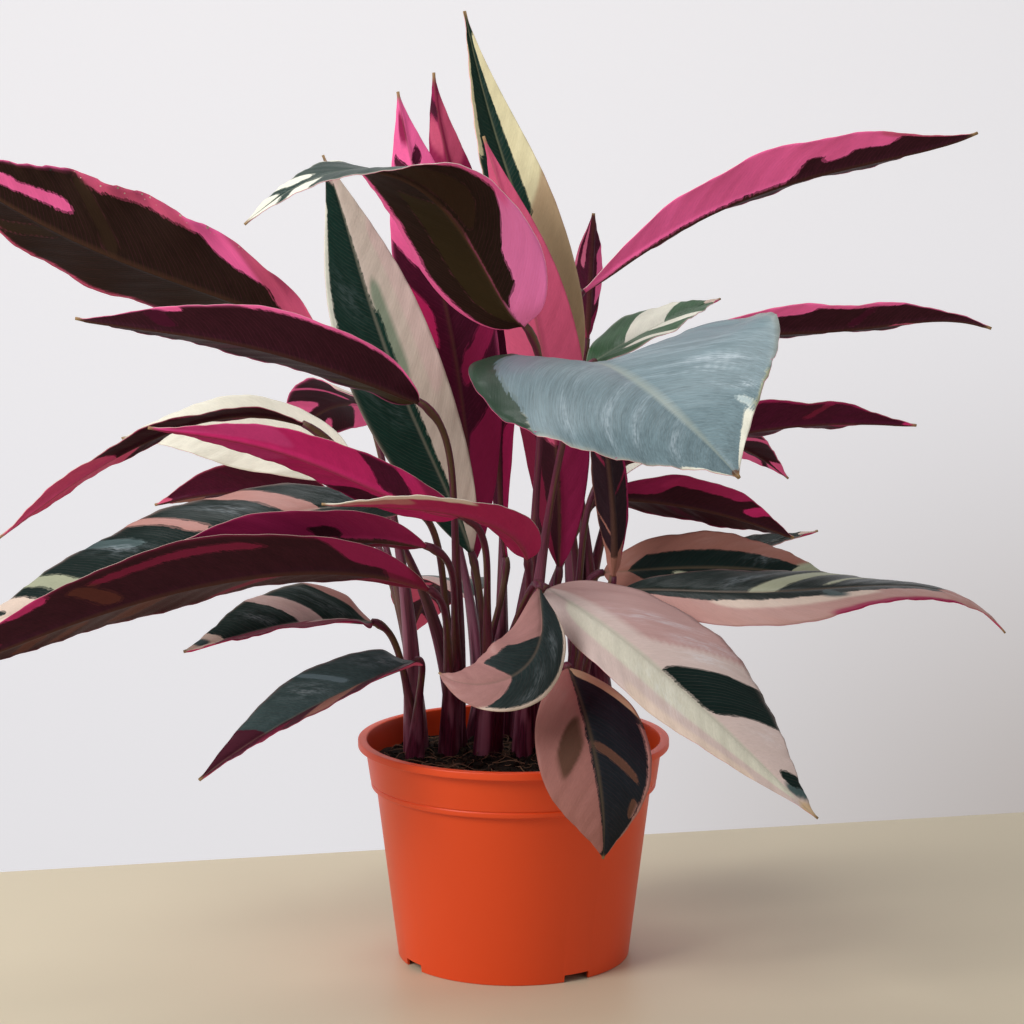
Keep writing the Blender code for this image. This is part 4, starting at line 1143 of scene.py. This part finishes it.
def make_shoot(shoot, first_seed):
    """All the stalks of a shoot as one piece, with their feet hidden in the soil."""
    points, quads, caps, values = [], [], [], {"along": [], "around": [], "seed": []}
    start = 0
    for i, leaf in enumerate(leaf for leaf in LEAVES if leaf.shoot == shoot):
        tube, sides, ends, extra = stalk_tube(leaf, first_seed + i)
        points.append(tube)
        quads.append(sides + start)
        caps.append(ends + start)
        for name in values:
            values[name].append(extra[name])
        start += len(tube)
    points = np.concatenate(points)
    mesh = bpy.data.meshes.new("shoot_" + shoot + "_dressed")
    faces = np.concatenate(quads).tolist() + np.concatenate(caps).tolist()
    mesh.from_pydata(points.tolist(), [], faces)
    mesh.materials.append(STALK_SKIN)
    mesh.polygons.foreach_set("use_smooth", np.full(len(faces), True))
    piece = bpy.data.objects.new(mesh.name, mesh)
    bpy.context.scene.collection.objects.link(piece)
    for name, parts in values.items():
        put_value(mesh, name, np.concatenate(parts))
    outward(piece)
    return rides(piece, "stalk", "shoot_" + shoot)


def lathe(name, profile, steps, material):
    """A body turned about Z from a closed profile of (radius, height) points, on and off the axis."""
    turn = np.linspace(0, 2 * np.pi, steps, endpoint=False)
    profile = np.array(profile)
    points = np.stack(
        [
            profile[:, :1] * np.cos(turn),
            profile[:, :1] * np.sin(turn),
            profile[:, 1:] * np.ones(steps),
        ],
        axis=-1,
    ).reshape(-1, 3)
    quads = grid_faces(len(profile), steps, closed=True)
    piece = put_mesh(name, points, quads, [material])
    edit = bmesh.new()
    edit.from_mesh(piece.data)
    bmesh.ops.remove_doubles(edit, verts=edit.verts, dist=1e-6)
    bmesh.ops.dissolve_degenerate(edit, edges=edit.edges, dist=1e-7)
    bmesh.ops.recalc_face_normals(edit, faces=edit.faces)
    edit.to_mesh(piece.data)
    edit.free()
    return piece


def wall_radius(height):
    """The outer radius of the tapered wall below the band."""
    return BASE_RADIUS + (WALL_TOP_RADIUS - BASE_RADIUS) * height / BAND_FOOT_HEIGHT


def rounded(corners, radius, parts=4):
    """The profile with each corner cut to a small quadratic arc that starts and ends the radius away."""
    corners = np.array(corners, float)
    found = [corners[0]]
    for before, corner, after in zip(corners[:-2], corners[1:-1], corners[2:]):
        back = before - corner
        on = after - corner
        cut = min(radius, np.linalg.norm(back) * 0.45, np.linalg.norm(on) * 0.45)
        start = corner + back / np.linalg.norm(back) * cut
        end = corner + on / np.linalg.norm(on) * cut
        for t in np.linspace(0, 1, parts):
            found.append((1 - t) ** 2 * start + 2 * t * (1 - t) * corner + t**2 * end)
    return found + [corners[-1]]


def make_pot():
    """The part's own pot profile with rounded corners, turned, less its notches and its drain holes."""
    floor_top = CHANNEL_HEIGHT + FLOOR
    channel_in = MIDDLE_RADIUS + CHANNEL_SLOPE
    channel_out = wall_radius(CHANNEL_HEIGHT) - WALL
    lip_foot = POT_HEIGHT - LIP_HEIGHT
    groove_low = BAND_FOOT_HEIGHT + 3 * MM
    profile = [
        (0, 0),
        (MIDDLE_RADIUS, 0),
        (channel_in, CHANNEL_HEIGHT),
        (channel_out, CHANNEL_HEIGHT),
        (BASE_RADIUS - WALL, 0),
        (BASE_RADIUS, 0),
        (WALL_TOP_RADIUS, BAND_FOOT_HEIGHT),
        (BAND_FOOT_RADIUS, BAND_FOOT_HEIGHT),
        (BAND_FOOT_RADIUS + GROOVE / 2, groove_low),
        (BAND_FOOT_RADIUS - GROOVE / 2, groove_low + GROOVE),
        (BAND_FOOT_RADIUS + GROOVE, groove_low + 2 * GROOVE),
        (BAND_TOP_RADIUS, lip_foot),
        (LIP_RADIUS, lip_foot),
        (LIP_RADIUS, POT_HEIGHT),
        (BAND_TOP_RADIUS - WALL / 2, POT_HEIGHT),
        (BAND_TOP_RADIUS - WALL, lip_foot),
        (BAND_FOOT_RADIUS - WALL, BAND_FOOT_HEIGHT + WALL),
        (WALL_TOP_RADIUS - WALL, BAND_FOOT_HEIGHT + WALL),
        (wall_radius(floor_top) - WALL, floor_top),
        (channel_in - WALL, floor_top),
        (MIDDLE_RADIUS - WALL, FLOOR),
        (0, FLOOR),
    ]
    pot = lathe("pot_dressed", rounded(profile, EDGE_ROUNDING), POT_SIDES, POT_PLASTIC)
    edit = bmesh.new()
    for i in range(NOTCH_COUNT):
        turn = NOTCH_TURN + i * math.tau / NOTCH_COUNT
        cube = bmesh.ops.create_cube(edit, size=1)["verts"]
        bmesh.ops.scale(edit, verts=cube, vec=(NOTCH_WIDTH, NOTCH_DEPTH, 2 * NOTCH_HEIGHT))
        bmesh.ops.translate(edit, verts=cube, vec=(0, -BASE_RADIUS, 0))
        bmesh.ops.rotate(edit, verts=cube, cent=(0, 0, 0), matrix=Matrix.Rotation(turn, 3, "Z"))
    for i in range(DRAIN_COUNT):
        turn = (i + 0.5) * math.tau / DRAIN_COUNT
        hole = bmesh.ops.create_cone(
            edit, cap_ends=True, segments=20, radius1=DRAIN_RADIUS, radius2=DRAIN_RADIUS, depth=DRAIN_DEPTH
        )["verts"]
        place = (DRAIN_CIRCLE * math.cos(turn), DRAIN_CIRCLE * math.sin(turn), CHANNEL_HEIGHT + FLOOR / 2)
        bmesh.ops.translate(edit, verts=hole, vec=place)
    mesh = bpy.data.meshes.new("pot cutter")
    edit.to_mesh(mesh)
    edit.free()
    cutter = bpy.data.objects.new("pot cutter", mesh)
    bpy.context.scene.collection.objects.link(cutter)
    cut = pot.modifiers.new("cut", "BOOLEAN")
    cut.operation = "DIFFERENCE"
    cut.object = cutter
    cut.solver = "EXACT"
    bpy.context.view_layer.update()
    finished = bpy.data.meshes.new_from_object(pot.evaluated_get(bpy.context.evaluated_depsgraph_get()))
    pot.modifiers.clear()
    pot.data = finished
    pot.data.name = "pot_dressed"
    bpy.data.objects.remove(cutter)
    finished.polygons.foreach_set("use_smooth", np.full(len(finished.polygons), True))
    finished.set_sharp_from_angle(angle=math.radians(50))
    return rides(pot, "pot_plastic", "pot")


def soil_height(x, y):
    """The soil's top: low mounds of summed sines, sinking a little toward the pot's wall."""
    mounds = np.sin(x / (9 * MM)) * np.sin(y / (11 * MM) + x / (23 * MM))
    mounds = mounds + 0.5 * np.sin(x / (4.1 * MM) + 1) * np.sin(y / (3.7 * MM))
    sink = SOIL_SINK * smooth_step(np.hypot(x, y) / (86 * MM))
    return SOIL_TOP + SOIL_BUMP * (0.9 + 0.8 * mounds) - sink


def make_soil():
    """A closed body under a bumpy top, both worked out on rings, and crumbs pressed into it."""
    ledge = BAND_FOOT_HEIGHT + WALL + GAP
    edge = BAND_FOOT_RADIUS - WALL - 2 * GAP + SOIL_WIDENING
    turn = np.linspace(0, 2 * np.pi, SOIL_SIDES, endpoint=False)
    radii = edge * np.linspace(1, 0.002, SOIL_RINGS)
    x = radii[:, None] * np.cos(turn)
    y = radii[:, None] * np.sin(turn)
    top = np.stack([x, y, soil_height(x, y)], axis=-1)
    floor_top = CHANNEL_HEIGHT + FLOOR + GAP
    side = []
    for radius, height in (
        (0.1 * MM, FLOOR + GAP),
        (MIDDLE_RADIUS - WALL - 2 * GAP, FLOOR + GAP),
        (MIDDLE_RADIUS + CHANNEL_SLOPE - WALL - 2 * GAP, floor_top),
        (wall_radius(floor_top) - WALL - 2 * GAP, floor_top),
        (WALL_TOP_RADIUS - WALL - 2 * GAP, ledge),
        (BAND_FOOT_RADIUS - WALL - 2 * GAP, ledge),
    ):
        ring = [radius * np.cos(turn), radius * np.sin(turn), np.full(SOIL_SIDES, height)]
        side.append(np.stack(ring, axis=-1))
    points = np.concatenate([np.array(side), top]).reshape(-1, 3)
    quads = grid_faces(len(side) + SOIL_RINGS, SOIL_SIDES, closed=True)
    piece = put_mesh("soil_dressed", points, quads, [POTTING_SOIL])
    edit = bmesh.new()
    edit.from_mesh(piece.data)
    bmesh.ops.holes_fill(edit, edges=[e for e in edit.edges if e.is_boundary])
    bmesh.ops.recalc_face_normals(edit, faces=edit.faces)
    edit.to_mesh(piece.data)
    edit.free()
    rides(make_crumbs(edge - 3 * MM), "soil")
    return rides(piece, "soil", "soil")


def make_crumbs(edge):
    """Lumps of peat on the soil: one 20-sided ball, copied as a whole array, its corners moved in or out."""
    edit = bmesh.new()
    bmesh.ops.create_icosphere(edit, subdivisions=1, radius=1)
    ball = np.array([tuple(vertex.co) for vertex in edit.verts])
    sides = np.array([[vertex.index for vertex in face.verts] for face in edit.faces])
    edit.free()
    draw = np.random.default_rng(5)
    reach = edge * np.sqrt(draw.random(SOIL_CRUMBS))
    bearing = draw.random(SOIL_CRUMBS) * math.tau
    size = (0.7 + 2.3 * draw.random(SOIL_CRUMBS) ** 3) * MM
    x, y = reach * np.cos(bearing), reach * np.sin(bearing)
    middle = np.stack([x, y, soil_height(x, y) + CRUMB_SINK * size], axis=1)
    uneven = 1 + 0.25 * draw.standard_normal((SOIL_CRUMBS, len(ball), 1))
    points = middle[:, None] + ball * uneven * size[:, None, None]
    faces = sides + np.arange(SOIL_CRUMBS)[:, None, None] * len(ball)
    points, faces = points.reshape(-1, 3), faces.reshape(-1, 3)
    return put_mesh("soil_crumbs", points, faces, [POTTING_SOIL], smooth=False)


def make_roots():
    """Fine surface roots: three-sided tubes along short wandering paths that lie on the soil."""
    draw = np.random.default_rng(11)
    points, quads = [], []
    start = 0
    rows, sides = ROOT_ROWS, ROOT_SIDES
    for _ in range(SOIL_ROOTS):
        reach = ROOT_REACH * math.sqrt(draw.random())
        bearing = draw.random() * math.tau
        heading = draw.random() * math.tau + np.cumsum(draw.standard_normal(rows) * 0.35)
        step = (1.2 + 1.6 * draw.random()) * MM
        x = reach * math.cos(bearing) + np.cumsum(np.cos(heading)) * step
        y = reach * math.sin(bearing) + np.cumsum(np.sin(heading)) * step
        far = np.hypot(x, y)
        pull = np.minimum(1, ROOT_LIMIT / np.maximum(far, 1e-6))
        x, y = x * pull, y * pull
        lift = (0.5 + 2.5 * draw.random()) * MM * np.sin(np.linspace(0, np.pi, rows)) ** 2
        path = np.stack([x, y, soil_height(x, y) + 0.4 * MM + lift], axis=1)
        ahead = unit(np.gradient(path, axis=0) + np.array([1e-7, 0, 0]))
        first = unit(np.cross(ahead, [0.1, 0.2, 1.0]))
        second = np.cross(ahead, first)
        radius = (0.25 + 0.3 * draw.random()) * MM * np.linspace(1, 0.5, rows)[:, None, None]
        turn = np.linspace(0, 2 * np.pi, sides, endpoint=False)
        ring = np.cos(turn)[:, None] * first[:, None] + np.sin(turn)[:, None] * second[:, None]
        points.append((path[:, None] + radius * ring).reshape(-1, 3))
        quads.append(grid_faces(rows, sides, closed=True) + start)
        start += rows * sides
    piece = put_mesh("roots", np.concatenate(points), np.concatenate(quads), [ROOT_SKIN])
    edit = bmesh.new()
    edit.from_mesh(piece.data)
    bmesh.ops.holes_fill(edit, edges=[e for e in edit.edges if e.is_boundary], sides=sides)
    bmesh.ops.recalc_face_normals(edit, faces=edit.faces)
    edit.to_mesh(piece.data)
    edit.free()
    return rides(piece, "soil")


def stage_plane(name, corners, own_and_painted_shade_tones, roughness, glow=0.0):
    """A flat stage surface whose tone changes softly from the first to the second, low on the right: the
    second tone is painted shade. From behind it is clear, so that the plant shows from every side."""
    surface = Material(name, roughness, Specular_IOR_Level=0.3)
    split = surface.start.node("ShaderNodeSeparateXYZ", None, Vector=surface.place())
    right = surface.start.out(split, "X").step(-0.3, 0.9)
    low = surface.start.out(split, "Z").step(0.35, -0.55)
    # Painted shade: the tone goes over to the second one towards the right and low down
    tone = (right * low).mix(surface.vector(*own_and_painted_shade_tones[0]), surface.vector(*own_and_painted_shade_tones[1]))
    surface.feed("Base Color", tone)
    surface.feed("Emission Color", tone)
    surface.shader.inputs["Emission Strength"].default_value = glow
    start = surface.start
    clear = start.out(start.node("ShaderNodeBsdfTransparent"))
    behind = start.out(start.node("ShaderNodeNewGeometry"), "Backfacing")
    seen = start.out(start.node("ShaderNodeMixShader", None, s0=behind, s1=surface.solid(), s2=clear))
    surface.tree.links.new(seen.socket, surface.tree.nodes["Material Output"].inputs["Surface"])
    mesh = bpy.data.meshes.new(name)
    mesh.from_pydata(corners, [], [(0, 1, 2, 3)])
    mesh.materials.append(surface.data)
    plane = bpy.data.objects.new(name, mesh)
    bpy.context.scene.collection.objects.link(plane)


def area_light(name, place, size, power):
    """A rectangular lamp that looks at the middle of the plant."""
    data = bpy.data.lights.new(name, "AREA")
    data.shape = "RECTANGLE"
    data.size, data.size_y = size
    data.energy = power
    lamp = bpy.data.objects.new(name, data)
    bpy.context.scene.collection.objects.link(lamp)
    lamp.location = place
    aim = Vector(PLANT_MIDDLE) - Vector(place)
    lamp.rotation_euler = aim.to_track_quat("-Z", "Y").to_euler()


def set_camera():
    """The photograph's view: 1.63 m away, 0.515 m up, looking 8.4 degrees down."""
    data = bpy.data.cameras.new("camera")
    data.sensor_width = FILM_WIDTH
    data.lens = FILM_WIDTH * FOCAL_PIXELS / PICTURE_PIXELS
    data.shift_x = CAMERA_SHIFT
    camera = bpy.data.objects.new("camera", data)
    bpy.context.scene.collection.objects.link(camera)
    camera.location = CAMERA_PLACE
    camera.rotation_euler = (math.pi / 2 - CAMERA_DOWN, 0, 0)
    bpy.context.scene.camera = camera


def set_stage():
    """A pale table that ends behind the pot, a wall well behind it, a dim white sky and three lamps."""
    near = [(TABLE_LEFT[0], TABLE_FRONT, 0), (TABLE_RIGHT[0], TABLE_FRONT, 0)]
    # The table's second tone is painted shade towards the right
    stage_plane("table", near + [TABLE_RIGHT, TABLE_LEFT], [(0.58, 0.50, 0.355), (0.54, 0.46, 0.32)], 0.45)
    left, right = -WALL_HALF_WIDTH, WALL_HALF_WIDTH
    corners = [(left, WALL_FOOT), (right, WALL_FOOT), (right, WALL_TOP), (left, WALL_TOP)]
    wall = [(x, WALL_PLACE, z) for x, z in corners]
    # The wall's second tone is painted shade, low on the right
    stage_plane("wall", wall, [(0.85, 0.83, 0.845), (0.50, 0.45, 0.42)], 0.8, 0.32)
    world = bpy.data.worlds.new("studio")
    bpy.context.scene.world = world
    world.use_nodes = True
    sky = world.node_tree.nodes["Background"]
    sky.inputs["Color"].default_value = (0.95, 0.97, 1.0, 1)
    sky.inputs["Strength"].default_value = 0.34
    for name, (place, size, power) in LIGHTS.items():
        area_light(name, place, size, power)
    bpy.context.scene.view_settings.view_transform = "Standard"


# The last number is the strength of the painted glow
LEAF_UPPER = leaf_face("leaf upper side", 0.36, 0.07, 0.04, 0.35, 0.02)
LEAF_UNDER = leaf_face("leaf under side", 0.46, 0.0, 0.025, 0.8, 0.10)
STALK_SKIN = stalk_skin()
POT_PLASTIC = pot_plastic()
POTTING_SOIL = potting_soil()
ROOT_SKIN = root_skin()

set_camera()
set_stage()
make_pot()
make_soil()
make_roots()
for number, leaf in enumerate(LEAVES):
    make_blade(leaf, number)
for number, shoot in enumerate(SHOOTS):
    make_shoot(shoot, 10 * number)
